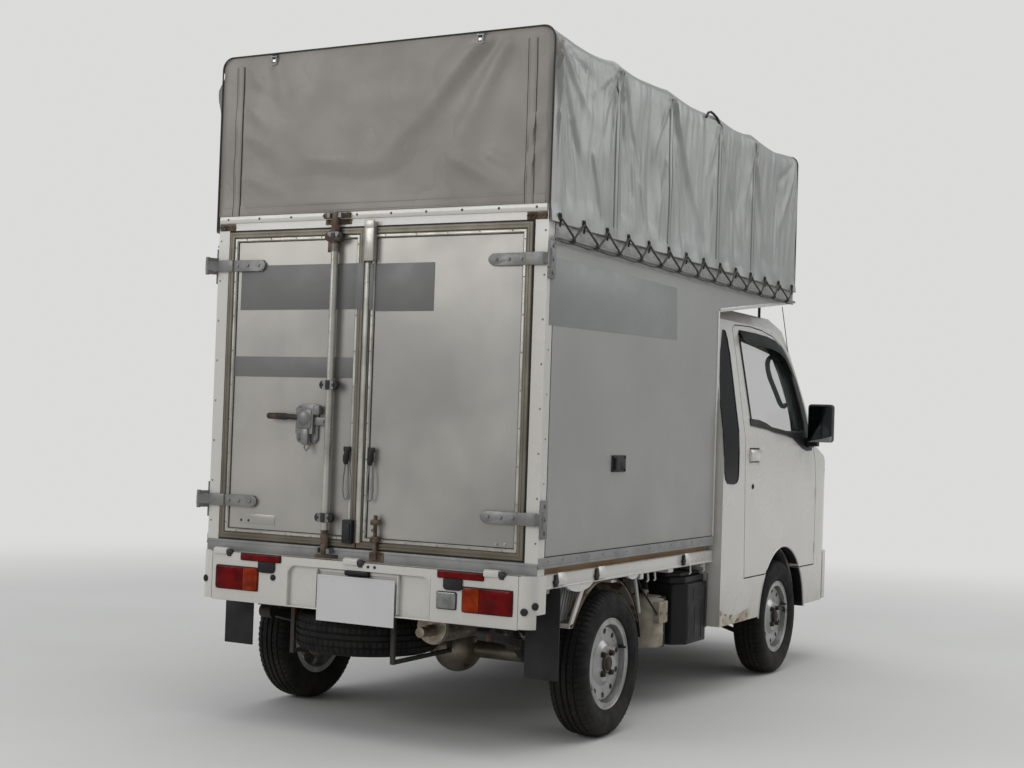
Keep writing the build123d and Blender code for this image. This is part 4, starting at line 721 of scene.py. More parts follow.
def canopy_trim():
    """Piping round both ends, seams and hems with their stitches, and the strap buckles."""
    piping = Form()
    for y in (CLOTH_REAR - 0.003, CLOTH_FRONT + 0.003):
        piping.tube([(x * 1.002, y, z + 0.001) for x, z in rim_points()], 0.0028, 8)
    piping.done("canopy_piping", "dark_seam")
    shoulder = CLOTH_TOP - CORNER
    for name, side in SIDES:
        def on_side(a, b, height):
            return side_at(a, b, side, height)

        seams = Form()
        for bow in BOWS[1:-1]:
            upright(seams, bow, 0.034, 0.0018, on_side, HEM_SIDE + 0.002, shoulder, 26)
        hem = [(y, HEM_SIDE + 0.022) for y in np.linspace(CLOTH_REAR + 0.005, CLOTH_FRONT - 0.005, 130)]
        ribbon(seams, hem, (0.0, 0.040), 0.0022, on_side)
        seams.done("canopy_seams_" + name, "tarpaulin")
        lines = Form()
        for bow in BOWS[1:-1]:
            for shift in (-0.013, 0.013):
                upright(lines, bow + shift, 0.0022, 0.0026, on_side, HEM_SIDE + 0.01, shoulder, 26)
        lines.done("canopy_stitches_" + name, "stitching")
    low = HEM_REAR + 0.004
    rear = Form()
    for x, width in ((-0.628, 0.030), (0.628, 0.036)):
        upright(rear, x, width, 0.0018, rear_at, low, 2.462, 40)
    hem_x = np.linspace(-0.690, 0.690, 60)
    ribbon(rear, [(x, HEM_REAR + 0.024) for x in hem_x], (0.0, 0.036), 0.0016, rear_at)
    rear.done("canopy_rear_seams", "tarpaulin_rear", slot="tarpaulin")
    marks = Form()
    for x, width in ((-0.6105, 0.0045), (0.6115, 0.0018), (0.6445, 0.0018), (-0.6415, 0.0018)):
        upright(marks, x, width, 0.0026, rear_at, low, 2.46, 60)
    marks.done("canopy_rear_stitches", "dark_seam", slot="tarpaulin")
    thread = Form()
    for x in (-0.6185, -0.6355, 0.6175, 0.6385):
        upright(thread, x, 0.0014, 0.0024, rear_at, low, 2.46, 60)
    for z in (HEM_REAR + 0.012, HEM_REAR + 0.036):
        ribbon(thread, [(x, z) for x in hem_x], (0.0, 0.0014), 0.0022, rear_at)
    thread.done("canopy_rear_thread", "stitching", slot="tarpaulin")
    strap_buckles()


def strap_buckles():
    """Two buckles with their straps at the rear's upper edge, and a loose loop at the roof's right edge."""
    buckles = Form()
    straps = Form()
    z = 2.470
    for x in (-0.466, 0.426):
        y = rear_at(x, z, 0.0)[1]
        for reach in (-0.011, 0.011):
            buckles.tube([(x + reach, y - 0.003, z + 0.020), (x + reach, y - 0.007, z + 0.006),
                          (x + reach, y - 0.004, z - 0.014)], 0.0026, 8)
        for rise in (0.016, -0.012):
            buckles.tube([(x - 0.013, y - 0.006, z + rise), (x + 0.013, y - 0.006, z + rise)], 0.0026, 8)
        buckles.box((x - 0.007, x + 0.010), (y - 0.008, y - 0.001), (z - 0.006, z + 0.006))
        straps.box((x - 0.010, x + 0.010), (y - 0.0042, y + 0.002), (z + 0.010, 2.4985), 0.001)
    buckles.done("canopy_buckles", "bright_galvanised", slot="galvanised")
    loop = [(0.709, -0.255, 2.455), (0.710, -0.235, 2.478), (0.707, -0.198, 2.489), (0.704, -0.160, 2.489),
            (0.708, -0.120, 2.476), (0.712, -0.096, 2.450)]
    straps.tube(loop, 0.0055, 8)
    straps.done("canopy_straps", "black_rubber")


canopy_trim()

# Rope lacing from the hem to the rail
GROMMETS = 14


def lacing():
    """Round hooks under the hem, the rope zigzagging from them to the rail, and the rope along the rail."""
    for name, side in SIDES:
        rope = Form()
        hooks = Form()
        step = (CLOTH_FRONT - CLOTH_REAR - 0.11) / (GROMMETS - 1)
        places = [CLOTH_REAR + 0.055 + i * step for i in range(GROMMETS)]
        top = HEM_SIDE + 0.016
        for i, y in enumerate(places):
            x = side_at(y, top, side, 0.0)[0]
            hooks.lathe(((0.0, 0.006), (0.002, 0.011), (0.0035, 0.011), (0.004, 0.007)), (x, y, top),
                        (side, 0, 0), 14)
            hooks.tube([(x + side * 0.004, y + dy, top + dz) for dy, dz in
                        ((-0.008, 0.004), (-0.004, 0.014), (0.004, 0.014), (0.009, 0.004), (0.006, -0.014),
                         (0.001, -0.030))], 0.0038, 7)
            for reach in (-0.5, 0.5):
                end = y + reach * step
                if end < CLOTH_REAR or end > CLOTH_FRONT:
                    continue
                lean = 0.006 * math.sin(i * 2.3 + reach)
                line = [(x + side * 0.006, y, top + 0.002),
                        (x + side * 0.011, y + reach * step * 0.3, top - 0.022 + lean),
                        (side * (ROPE_RAIL_X + 0.009), y + reach * step * 0.85, ROPE_RAIL_Z + 0.012 + lean),
                        (side * (ROPE_RAIL_X + 0.010), end, ROPE_RAIL_Z - 0.002),
                        (side * (ROPE_RAIL_X + 0.002), end + reach * 0.012, ROPE_RAIL_Z - 0.011),
                        (side * (ROPE_RAIL_X - 0.008), end + reach * 0.016, ROPE_RAIL_Z)]
                rope.tube(line, 0.0036, 7)
                second = [(px + side * 0.003, py + 0.012 * reach, pz - 0.004) for px, py, pz in line[:4]]
                rope.tube(second, 0.0026, 6)
        sag = [(side * (ROPE_RAIL_X + 0.004), y, ROPE_RAIL_Z - 0.012 - 0.004 * math.sin(y * 17) ** 2)
               for y in np.linspace(CLOTH_REAR + 0.06, CLOTH_FRONT - 0.06, 60)]
        rope.tube(sag, 0.0028, 6)
        rope.done("canopy_rope_" + name, "rope")
        hooks.done("canopy_hooks_" + name, "black_rubber")


lacing()

# Rear doors

DOORS = {"left": (-0.649, -0.033), "right": (-0.027, 0.649)}
DOOR_LOW = 0.678
DOOR_HIGH = 1.832
SKIN_Y = BOX_REAR + 0.004
STILE_Y = BOX_REAR - 0.0062
HINGE_X = 0.730
HINGE_Y = -1.6895
HINGE_HEIGHTS = (0.820, 1.704)
ROD_X = -0.155
ROD_Y = BOX_REAR - 0.020


def behind(first, second):
    """The span of y between two distances behind the box's rear face."""
    return BOX_REAR - first, BOX_REAR - second


def door_rings(side):
    """The door's seal, its extruded frame, the bright bead inside it, a dark line and the rivets."""
    x, z, body = DOORS[side], (DOOR_LOW, DOOR_HIGH), "rear_door_" + side
    for name, material, y, profile in (
        ("seal", "black_rubber", BOX_REAR,
         ((-0.0052, -0.012), (-0.0052, 0.0012), (-0.001, 0.003), (0.0015, 0.0005))),
        ("ring", "frame_aluminium", BOX_REAR,
         ((0.0, -0.001), (0.0, 0.004), (0.0025, 0.0065), (0.0085, 0.0065), (0.0095, 0.005), (0.0125, 0.005),
          (0.0135, 0.0065), (0.0205, 0.0065), (0.0230, 0.004), (0.0230, -0.001))),
        ("bead", "bright_aluminium", BOX_REAR,
         ((0.0245, -0.001), (0.0245, 0.0025), (0.027, 0.0045), (0.034, 0.0045), (0.0375, 0.0005),
          (0.0375, -0.0045))),
        ("line", "dark_seam", SKIN_Y, ((0.0375, 0.0), (0.0375, 0.0012), (0.0405, 0.0012), (0.0405, 0.0))),
    ):
        Form().ring_frame(x, z, profile, y).done("door_%s_%s" % (name, side), material, body)
    inset = 0.030
    left, right = x[0] + inset, x[1] - inset
    places = [(x_at, z_at) for z_at in np.linspace(DOOR_LOW + 0.06, DOOR_HIGH - 0.06, 9)
              for x_at in (left, right)]
    places += [(x_at, z_at) for x_at in np.linspace(left + 0.05, right - 0.05, 5)
               for z_at in (DOOR_LOW + inset, DOOR_HIGH - inset)]
    rivets = Form()
    for x_at, z_at in places:
        rivets.rivet((x_at, BOX_REAR - 0.0045, z_at), BACK, 0.0032, 0.0016)
    rivets.done("door_rivets_" + side, "galvanised", body)


def tape_bands():
    """Plain grey bands across the doors, cut where they cross a frame."""
    for name, side, z, x, y in (
        ("upper_left", "left", (1.537, 1.704), (-0.594, -0.0705), SKIN_Y),
        ("upper_left_stile", "left", (1.537, 1.704), (-0.0675, -0.034), STILE_Y),
        ("upper_right_stile", "right", (1.533, 1.702), (-0.026, 0.0075), STILE_Y),
        ("upper_right", "right", (1.529, 1.701), (0.0105, 0.2585), SKIN_Y),
        ("lower_left", "left", (1.287, 1.362), (-0.6125, -0.0705), SKIN_Y),
    ):
        stand = 0.0014 if y == SKIN_Y else 0.0016
        band = Form().box(x, (y - stand, y), z, bevel=0.0004)
        band.done("tape_" + name, "grey_tape", "rear_door_" + side)


def lock_rod():
    """The upright rod on the left door: its sleeve, rusty ends and clamps."""
    foot = (ROD_X, ROD_Y, 0)
    sleeve = Form()
    for low, high, radius in ((0.735, 1.10, 0.0136), (1.30, 1.745, 0.0136), (1.10, 1.30, 0.0133)):
        sleeve.lathe(((low, radius), (high, radius)), foot, UP, 20)
    sleeve.done("lock_rod_sleeve", "bright_aluminium", "rear_door_left")
    rusty = Form()
    rusty.lathe(((0.650, 0), (0.650, 0.0138), (0.672, 0.0138), (0.674, 0.0150), (0.735, 0.0150),
                 (0.735, 0.0136)), foot, UP, 20)
    rusty.lathe(((1.775, 0.0136), (1.775, 0.0160), (1.842, 0.0160), (1.844, 0.0134), (1.8875, 0.0134),
                 (1.8875, 0)), foot, UP, 20)
    rusty.box((ROD_X - 0.040, ROD_X + 0.006), behind(0.0075, 0.0066), (1.745, 1.826), 0.0008)
    rusty.box((ROD_X - 0.028, ROD_X + 0.028), (ROD_Y - 0.0172, BOX_REAR - 0.002), (1.782, 1.800), 0.004)
    rusty.done("lock_rod_ends", "rusty_steel", "rear_door_left")
    clamps = Form()
    for z, tall in ((0.780, 0.017), (1.260, 0.017), (1.800, 0.013)):
        clamps.lathe(((-tall, 0.0140), (-tall, 0.0180), (-tall * 0.5, 0.0192), (tall * 0.5, 0.0192),
                      (tall, 0.0180), (tall, 0.0140)), (ROD_X, ROD_Y, z), UP, 24)
        for reach in (-1, 1):
            clamps.lathe(((0, 0.0165), (0.016, 0.0165), (0.0185, 0.013), (0.0185, 0)),
                         (ROD_X + reach * 0.0225, BOX_REAR - 0.016, z), BACK, 20)
            clamps.bolt((ROD_X + reach * 0.0235, BOX_REAR - 0.0335, z), BACK, 0.006, 0.004)
    clamps.done("lock_rod_clamps", "dark_steel", "rear_door_left")


def lock_and_lever():
    """The lock's casting with its bolts and ring, and the lever that lies across it."""
    lock = Form()
    lock.prism([(-0.308, 1.062), (-0.300, 1.048), (-0.222, 1.048), (-0.212, 1.062), (-0.212, 1.176),
                (-0.224, 1.190), (-0.286, 1.190), (-0.308, 1.170)], behind(0.0045, -0.0035), "y", 0.002)
    lock.box((-0.296, -0.229), behind(0.0265, 0.003), (1.098, 1.170), 0.007)
    lock.lathe(((0, 0.030), (0.022, 0.030), (0.028, 0.024), (0.032, 0.012), (0.032, 0)),
               (-0.262, BOX_REAR - 0.004, 1.139), BACK, 28)
    lock.box((-0.272, -0.240), behind(0.030, 0.003), (1.040, 1.100), 0.006)
    lock.box((-0.226, -0.172), behind(0.0125, 0.003), (1.112, 1.142), 0.003)
    lock.box((-0.226, -0.196), behind(0.024, 0.003), (1.150, 1.186), 0.005)
    for x, z in ((-0.298, 1.060), (-0.298, 1.176), (-0.222, 1.060), (-0.220, 1.180), (-0.184, 1.127)):
        lock.bolt((x, BOX_REAR - (0.0045 if x < -0.2 else 0.0125), z), BACK, 0.0055, 0.004)
    ring = ((-0.252, 0.022, 1.052), (-0.252, 0.030, 1.030), (-0.246, 0.026, 1.018), (-0.240, 0.018, 1.030),
            (-0.240, 0.014, 1.052))
    lock.tube([(x, BOX_REAR - out, z) for x, out, z in ring], 0.0032, 8)
    lock.done("lock_casting", "galvanised", "rear_door_left")
    lever = Form()
    lever.lathe(((-0.168, 0), (-0.168, 0.009), (-0.164, 0.0115), (-0.085, 0.0125), (-0.075, 0.0105),
                 (-0.010, 0.0105), (0.0, 0.008)), (-0.262, BOX_REAR - 0.018, 1.139), (1, 0, -0.02), 16)
    lever.done("lock_lever", "dark_steel", "rear_door_left")


def door_loops():
    """A hanging wire loop with its knot on each door."""
    for side, x in (("left", -0.075), ("right", 0.029)):
        y = BOX_REAR - 0.006
        loop = Form()
        curve = [(0.000, 1.000), (-0.006, 0.975), (-0.012, 0.930), (-0.013, 0.885), (-0.008, 0.856),
                 (0.000, 0.848), (0.008, 0.856), (0.013, 0.885), (0.011, 0.930), (0.006, 0.975)]
        loop.tube([(x + dx, y - 0.006, z) for dx, z in curve], 0.0026, 8, closed=True)
        loop.done("door_loop_" + side, "galvanised", "rear_door_" + side)
        knot = Form()
        knot.lathe(((-0.030, 0), (-0.028, 0.006), (-0.016, 0.011), (0.0, 0.0125), (0.016, 0.010),
                    (0.026, 0.006), (0.030, 0)), (x, y - 0.010, 1.004), (0.1, 0, 1), 14)
        knot.box((x - 0.014, x + 0.014), behind(0.0175, 0.0065), (1.022, 1.040), 0.003)
        knot.done("door_loop_knot_" + side, "black_rubber", "rear_door_" + side)


def stop_bolt_and_cover():
    """The rubber stop, the slide bolt, and the cover strip with its box where the doors meet."""
    block = Form()
    block.box((-0.079, -0.036), behind(0.026, 0.005), (0.692, 0.778), 0.005)
    block.box((-0.074, -0.041), behind(0.031, 0.020), (0.704, 0.766), 0.004)
    block.done("door_stop_block", "black_rubber", "rear_door_left")
    bolt = Form()
    bolt.lathe(((0.646, 0), (0.646, 0.0075), (0.800, 0.0075), (0.800, 0)),
               (0.060, BOX_REAR - 0.016, 0), UP, 14)
    for z in (0.715, 0.775):
        bolt.box((0.043, 0.077), behind(0.0265, 0.003), (z - 0.010, z + 0.010), 0.004)
        for x in (0.050, 0.070):
            bolt.bolt((x, BOX_REAR - 0.0265, z), BACK, 0.004, 0.003)
    bolt.box((0.054, 0.066), behind(0.034, 0.014), (0.742, 0.752), 0.002)
    bolt.done("door_slide_bolt", "rusty_steel", "rear_door_right")
    cover = Form()
    cover.box((-0.0255, 0.0155), behind(0.0255, 0.001), (1.708, 1.852), 0.004)
    cover.box((-0.0255, 0.0155), behind(0.0275, 0.020), (1.826, 1.856), 0.003)
    cover.done("door_cover_box", "bright_aluminium", "rear_door_right")
    strip = Form()
    strip.prism([(-0.0275, -0.0005), (-0.0275, 0.0115), (-0.0235, 0.0135), (-0.0125, 0.0135),
                 (-0.0085, 0.0115), (-0.0085, -0.0005)], (0.697, 1.703), "z", 0.0)
    for vert in strip.bm.verts:
        vert.co.y = BOX_REAR - vert.co.y
    strip.done("door_cover_strip", "bright_aluminium", "rear_door_right")


def door_marks():
    """A thin patch with two holes low on the left door and two screws low on the right one."""
    patch_y = SKIN_Y - 0.0012
    patch = Form().box((-0.562, -0.398), (patch_y, SKIN_Y), (0.737, 0.773), bevel=0.0005)
    patch.done("door_patch_left", "door_aluminium", "rear_door_left")
    holes = Form()
    for x in (-0.552, -0.518):
        holes.lathe(((-0.001, 0.0052), (0.0002, 0.0052), (0.0002, 0.0)), (x, patch_y, 0.748), BACK, 16)
    holes.done("door_patch_holes", "dark_seam", "rear_door_left")
    screws = Form()
    for x in (0.541, 0.573):
        screws.bolt((x, SKIN_Y, 0.7285), BACK, 0.0048, 0.004)
    screws.done("door_screws_right", "bright_galvanised", "rear_door_right")


def hinge_details():
    """Rounded straps with a raised rib and bolts, and knuckle plates."""
    for name, side in SIDES:
        straps = Form()
        plates = Form()
        half = 0.0215
        tip = 0.494
        for z in HINGE_HEIGHTS:
            arc = [(side * (tip + 0.014 - 0.030 * math.cos(t)), z + half * math.sin(t))
                   for t in np.linspace(-math.pi / 2, math.pi / 2, 9)]
            outline = [(side * 0.648, z - half)] + arc + [(side * 0.648, z + half)]
            straps.prism(outline, behind(0.0078, 0.0012), "y", 0.0012)
            straps.prism([(side * 0.628, z - half - 0.0005), (side * 0.628, z + half + 0.0005),
                          (side * 0.699, z + half + 0.0005), (side * 0.699, z - half - 0.0005)],
                         behind(0.0125, 0.0050), "y", 0.0012)
            for x in (0.510, 0.560, 0.608):
                straps.bolt((side * x, BOX_REAR - 0.0078, z), BACK, 0.0065, 0.004)
            for low in (z - 0.0183, z):
                straps.lathe(((0, 0.0088), (0.0183, 0.0088)), (side * HINGE_X, HINGE_Y, low), UP, 16)
            plates.box(pair(side, 0.7105, 0.7135), behind(0, -0.046), (z - 0.066, z + 0.066), 0.0012)
            for z_at in (z - 0.046, z, z + 0.046):
                plates.bolt((side * 0.7135, BOX_REAR + 0.026, z_at), (side, 0, 0), 0.0065, 0.004)
            for cap in (((-0.0335, 0), (-0.0335, 0.006), (-0.0315, 0.0075), (-0.0312, 0)),
                        ((0.0312, 0), (0.0315, 0.0075), (0.0335, 0.006), (0.0335, 0))):
                plates.lathe(cap, (side * HINGE_X, HINGE_Y, z), UP, 14)
        straps.done("hinge_straps_" + name, "galvanised", "rear_door_" + name)
        plates.done("hinge_plates_" + name, "galvanised", "truck")


for door_side in DOORS:
    door_rings(door_side)
tape_bands()
lock_rod()
lock_and_lever()
door_loops()
stop_bolt_and_cover()
hinge_details()
door_marks()

# Portal, header bar and box sides


def hem_bar():
    """The white bar over the doors that holds the cover's rear hem, with its screws."""
    bar = Form()
    bar.prism([(-1.6575, 1.866), (-1.6625, 1.866), (-1.6638, 1.868), (-1.6638, 1.889), (-1.6625, 1.892),
               (-1.6600, 1.892), (-1.6575, 1.889)], (-0.700, 0.700), "x", 0.0)
    bar.done("hem_bar", "white_paint")
    screws = Form()
    for x in np.linspace(-0.66, 0.66, 10):
        screws.rivet((x, -1.6638, 1.880), BACK, 0.005, 0.0022)
    screws.done("hem_bar_screws", "rusty_steel")


def sill_and_keepers():
    """The sill plate under the doors, and the keeper plates that the lock rod and the bolt go into."""
    sill = Form()
    sill.box((-0.7045, 0.7045), behind(0.003, -0.001), (0.6315, 0.6715), 0.0012)
    sill.box((-0.7045, 0.7045), (BOX_REAR - 0.0045, BOX_REAR), (0.6615, 0.6675), 0.001)
    sill.done("sill_plate", "sill_grey")
    keepers = Form()
    keepers.box((-0.212, -0.098), behind(0.0030, -0.001), (1.846, 1.8655), 0.001)
    for low, high in ((-0.212, -0.173), (-0.137, -0.098)):
        keepers.box((low, high), behind(0.0175, 0.006), (1.868, 1.888), 0.001)
    for x in (-0.200, -0.110):
        keepers.bolt((x, BOX_REAR - 0.0030, 1.8555), BACK, 0.005, 0.003)
    keepers.box((0.030, 0.092), (BOX_REAR - 0.0055, BOX_REAR), (0.634, 0.669), 0.001)
    keepers.box((-0.206, -0.104), (BOX_REAR - 0.0055, BOX_REAR), (0.634, 0.6465), 0.001)
    keepers.done("keeper_plates", "rusty_steel")


def corners_and_posts():
    """Brackets with open rivets at the portal's upper corners, and the rivets of its posts."""
    corners = Form()
    for low, high in ((-0.700, -0.628), (0.622, 0.700)):
        corners.box((low, high), behind(0.0030, -0.001), (1.838, 1.864), 0.001)
        for i in range(4):
            x = low + (high - low) * (i + 0.5) / 4
            corners.lathe(((0, 0.0085), (0.004, 0.0085), (0.0052, 0.0070), (0.004, 0.0050), (0, 0.0045)),
                          (x, BOX_REAR - 0.0030, 1.851), BACK, 12)
    corners.done("corner_brackets", "rusty_steel")
    posts = Form()
    for _, side in SIDES:
        for z in np.linspace(0.74, 1.80, 8):
            posts.rivet((side * 0.694, BOX_REAR, z), BACK, 0.004, 0.002)
            posts.rivet((side * BOX_X, BOX_REAR + 0.026, z + 0.05), (side, 0, 0), 0.0036, 0.0018)
    posts.done("post_rivets", "galvanised")


def box_side_trim():
    """Rails, edgings, rivets, a plain band and a door catch on each side of the box."""
    for name, side in SIDES:
        def strip(form, out, y, z, bevel=0.0012):
            """A box from just inside the side's face to out in front of it."""
            form.box(pair(side, BOX_X - 0.001, BOX_X + out), y, z, bevel)

        length = (BOX_REAR + 0.001, BOX_FRONT)
        rail = Form()
        strip(rail, 0.0045, length, (0.6535, 0.690))
        strip(rail, 0.0065, length, (0.6535, 0.661))
        rail.done("base_rail_" + name, "sill_grey")
        dark = Form()
        strip(dark, 0.0022, (BOX_REAR + 0.050, BOX_FRONT), (0.690, 0.6935), 0.0)
        strip(dark, 0.0008, behind(-0.048, -0.0515), (0.6535, WALL_TOP), 0.0)
        dark.done("side_line_" + name, "dark_seam")
        edge = Form()
        slope = [(BOX_FRONT + 0.002, 1.6555), (OVERHANG_FRONT - 0.002, 1.7765),
                 (OVERHANG_FRONT - 0.002, 1.7925), (BOX_FRONT + 0.002, 1.6715)]
        edge.prism(slope, pair(side, BOX_X - 0.001, BOX_X + 0.003), "x", 0.001)
        strip(edge, 0.003, (BOX_FRONT - 0.016, BOX_FRONT - 0.0005), (0.690, 1.660))
        strip(edge, 0.003, (OVERHANG_FRONT - 0.0165, OVERHANG_FRONT - 0.0005), (1.780, WALL_TOP))
        edge.done("side_edging_" + name, "white_paint")
        rivets = Form()
        for y in np.linspace(BOX_REAR + 0.07, BOX_FRONT - 0.04, 15):
            rivets.rivet((side * (BOX_X + 0.0045), y, 0.677), (side, 0, 0), 0.0042, 0.0018)
        for y in np.linspace(BOX_REAR + 0.07, OVERHANG_FRONT - 0.04, 22):
            rivets.rivet((side * BOX_X, y, 1.810), (side, 0, 0), 0.0036, 0.0016)
        rivets.done("side_rivets_" + name, "galvanised")
        tape = Form()
        tape.prism([(-1.634, 1.480), (-1.634, 1.714), (-0.507, 1.713), (-0.490, 1.504)],
                   pair(side, BOX_X - 0.0005, BOX_X + 0.0011), "x", 0.0004)
        tape.done("side_tape_" + name, "side_tape")
        catch = Form()
        strip(catch, 0.005, (-1.090, -0.968), (0.976, 1.038), 0.002)
        catch.box(pair(side, BOX_X, BOX_X + 0.016), (-1.078, -1.040), (0.984, 1.030), 0.004)
        catch.box(pair(side, BOX_X, BOX_X + 0.011), (-1.030, -0.980), (0.990, 1.010), 0.003)
        for y, z in ((-1.082, 1.031), (-1.082, 0.983), (-0.976, 1.031), (-0.976, 0.983)):
            catch.bolt((side * (BOX_X + 0.005), y, z), (side, 0, 0), 0.0042, 0.003)
        catch.done("door_catch_" + name, "black_rubber")


hem_bar()
sill_and_keepers()
corners_and_posts()
box_side_trim()

# Rear panel and its lamps

PANEL_OUT = -1.6972
PLATE_X = (-0.165, 0.165)
PLATE_Y = -1.6965


def rounded(x, z, radius, square=()):
    """A rectangle's outline with round corners, but for those in square, counted from the lowest right."""
    points = []
    corners = ((x[1], z[0], -90), (x[1], z[1], 0), (x[0], z[1], 90), (x[0], z[0], 180))
    for i, (cx, cz, start) in enumerate(corners):
        if i in square:
            points.append((cx, cz))
            continue
        mx = cx - math.copysign(radius, cx - (x[0] + x[1]) / 2)
        mz = cz - math.copysign(radius, cz - (z[0] + z[1]) / 2)
        for k in range(5):
            t = math.radians(start + 90 * k / 4)
            points.append((mx + radius * math.cos(t), mz + radius * math.sin(t)))
    return points


def mirrored(points, side):
    """Points of (x, z) on one side of the truck."""
    return [(side * a, b) for a, b in points]


def tail_lamps():
    """Red, amber and clear lenses with their ribs, the long reflectors, and the rubber round all of them."""
    gasket = Form()
    red = Form()
    amber = Form()
    lens = (PANEL_OUT, -1.684)
    rubber = (-1.6930, -1.672)
    high = (0.4940, 0.5760)
    shapes = (
        # form, across, height, corner radius, square corners, depth, bevel
        (gasket, (0.4345, 0.6335), (0.4905, 0.5795), 0.012, (), rubber, 0.0015),
        (red, (0.5045, 0.6300), high, 0.010, (2, 3), lens, 0.0025),
        (amber, (0.4380, 0.5035), high, 0.010, (0, 1), lens, 0.0025),
        (red, (0.337, 0.516), (0.6045, 0.6275), 0.004, (), (PANEL_OUT, -1.690), 0.0018),
        (gasket, (0.334, 0.519), (0.6020, 0.6298), 0.005, (), (-1.6935, -1.6880), 0.001),
        (gasket, (0.360, 0.436), (0.5625, 0.6030), 0.014, (1, 2), (PANEL_OUT, -1.689), 0.003),
        (gasket, (0.376, 0.420), (0.5680, 0.5900), 0.006, (), (PANEL_OUT - 0.0002, -1.692), 0.002),
    )
    for _, side in SIDES:
        for form, x, z, radius, square, depth, bevel in shapes:
            form.prism(mirrored(rounded(x, z, radius, square), side), depth, "y", bevel)
    gasket.prism(rounded((0.3335, 0.4145), (0.4950, 0.5570), 0.007), rubber, "y", 0.0015)
    gasket.done("lamp_gaskets", "black_rubber", replaces=("tail_lamps",))
    rib = (PANEL_OUT - 0.0002, PANEL_OUT + 0.002)
    for form, places in ((red, (0.535, 0.566, 0.598)), (amber, (0.452, 0.466, 0.480))):
        for x in places:
            for _, side in SIDES:
                form.box((side * x - 0.0006, side * x + 0.0006), rib, (0.498, 0.572), 0)
    red.done("lamp_red", "lens_red", replaces=("tail_lamps",))
    amber.done("lamp_amber", "lens_amber", slot="lens_red")
    clear = Form().prism(rounded((0.3365, 0.4115), (0.4980, 0.5540), 0.005), lens, "y", 0.002)
    for z in np.linspace(0.504, 0.548, 9):
        clear.box((0.3395, 0.4085), rib, (z - 0.0012, z + 0.0012), 0.0003)
    clear.done("lamp_clear", "lens_clear")


def panel_tabs():
    """Three tabs on the panel's upper edge, each with its latch."""
    tabs = Form()
    latches = Form()
    for low, high in ((-0.644, -0.584), (-0.058, 0.002), (0.518, 0.576)):
        tabs.prism([(PANEL_OUT, 0.6195), (-1.6780, 0.6195), (-1.6700, 0.6420), (-1.6850, 0.6445),
                    (PANEL_OUT, 0.6390)], (low, high), "x", 0.002)
        latches.box((high + 0.002, high + 0.020), (-1.6955, -1.6800), (0.6130, 0.6385), 0.003)
        latches.lathe(((-0.004, 0), (-0.004, 0.007), (0.024, 0.007), (0.024, 0)),
                      (high + 0.002, -1.6890, 0.629), (1, 0, 0), 12)
    for x in (0.046, 0.074):
        latches.rivet((x, PANEL_Y, 0.617), BACK, 0.006, 0.004)
    tabs.done("panel_tabs", "white_paint")
    latches.done("panel_latches", "dark_steel")


def panel_stops():
    """Round rubber stops on the panel and its upright corners."""
    stops = Form()
    # degrees from straight back, side and height of those at the corners
    for angle, side, z in ((14, 1, 0.511), (62, 1, 0.530), (24, -1, 0.523)):
        t = math.radians(angle)
        normal = (side * math.sin(t), -math.cos(t), 0)
        at = (side * (0.665 + 0.045 * math.sin(t)), -1.6445 - 0.045 * math.cos(t), z)
        stops.lathe(((-0.002, 0.013), (0.0035, 0.013), (0.006, 0.010), (0.006, 0)), at, normal, 20)
    stops.lathe(((-0.002, 0.011), (0.004, 0.011), (0.006, 0.008), (0.006, 0)),
                (-0.368, PANEL_Y, 0.548), BACK, 20)
    stops.done("panel_stops", "black_rubber")


def panel_pressings():
    """The panel's seams and its pressed edges and corners."""
    seams = Form()
    for _, side in SIDES:
        seams.box(pair(side, 0.6512, 0.6524), (-1.6900, -1.6880), (0.4525, 0.6290), 0)
    seams.box((-0.6600, 0.6600), (-1.6899, -1.6860), (0.6290, 0.6302), 0)
    seams.done("panel_seams", "dark_seam")
    press = Form()
    radius = 0.034
    corner_x, corner_z = 0.3025, 0.6005
    back = -1.6750
    for _, side in SIDES:
        corner = [(side * corner_x, corner_z)]
        corner += [(side * (corner_x - radius + radius * math.cos(t)),
                    corner_z - radius + radius * math.sin(t)) for t in np.linspace(0, math.pi / 2, 7)]
        press.prism(corner, (-1.6893, back), "y", 0.0)
        press.box(pair(side, 0.172, 0.176), (-1.6935, back), (0.458, 0.596), 0.0012)
        lip = [(corner_x, 0.4525), (corner_x + 0.004, 0.4525), (corner_x + 0.004, 0.597), (corner_x, 0.597)]
        press.prism(mirrored(lip, side), (-1.6915, back), "y", 0.0012)
    press.box((-0.176, 0.176), (-1.6790, back), (0.585, 0.596), 0.001)
    press.box((-0.6500, 0.6500), (-1.6895, -1.6700), (0.4480, 0.4530), 0.0015)
    press.done("panel_pressings", "white_paint")


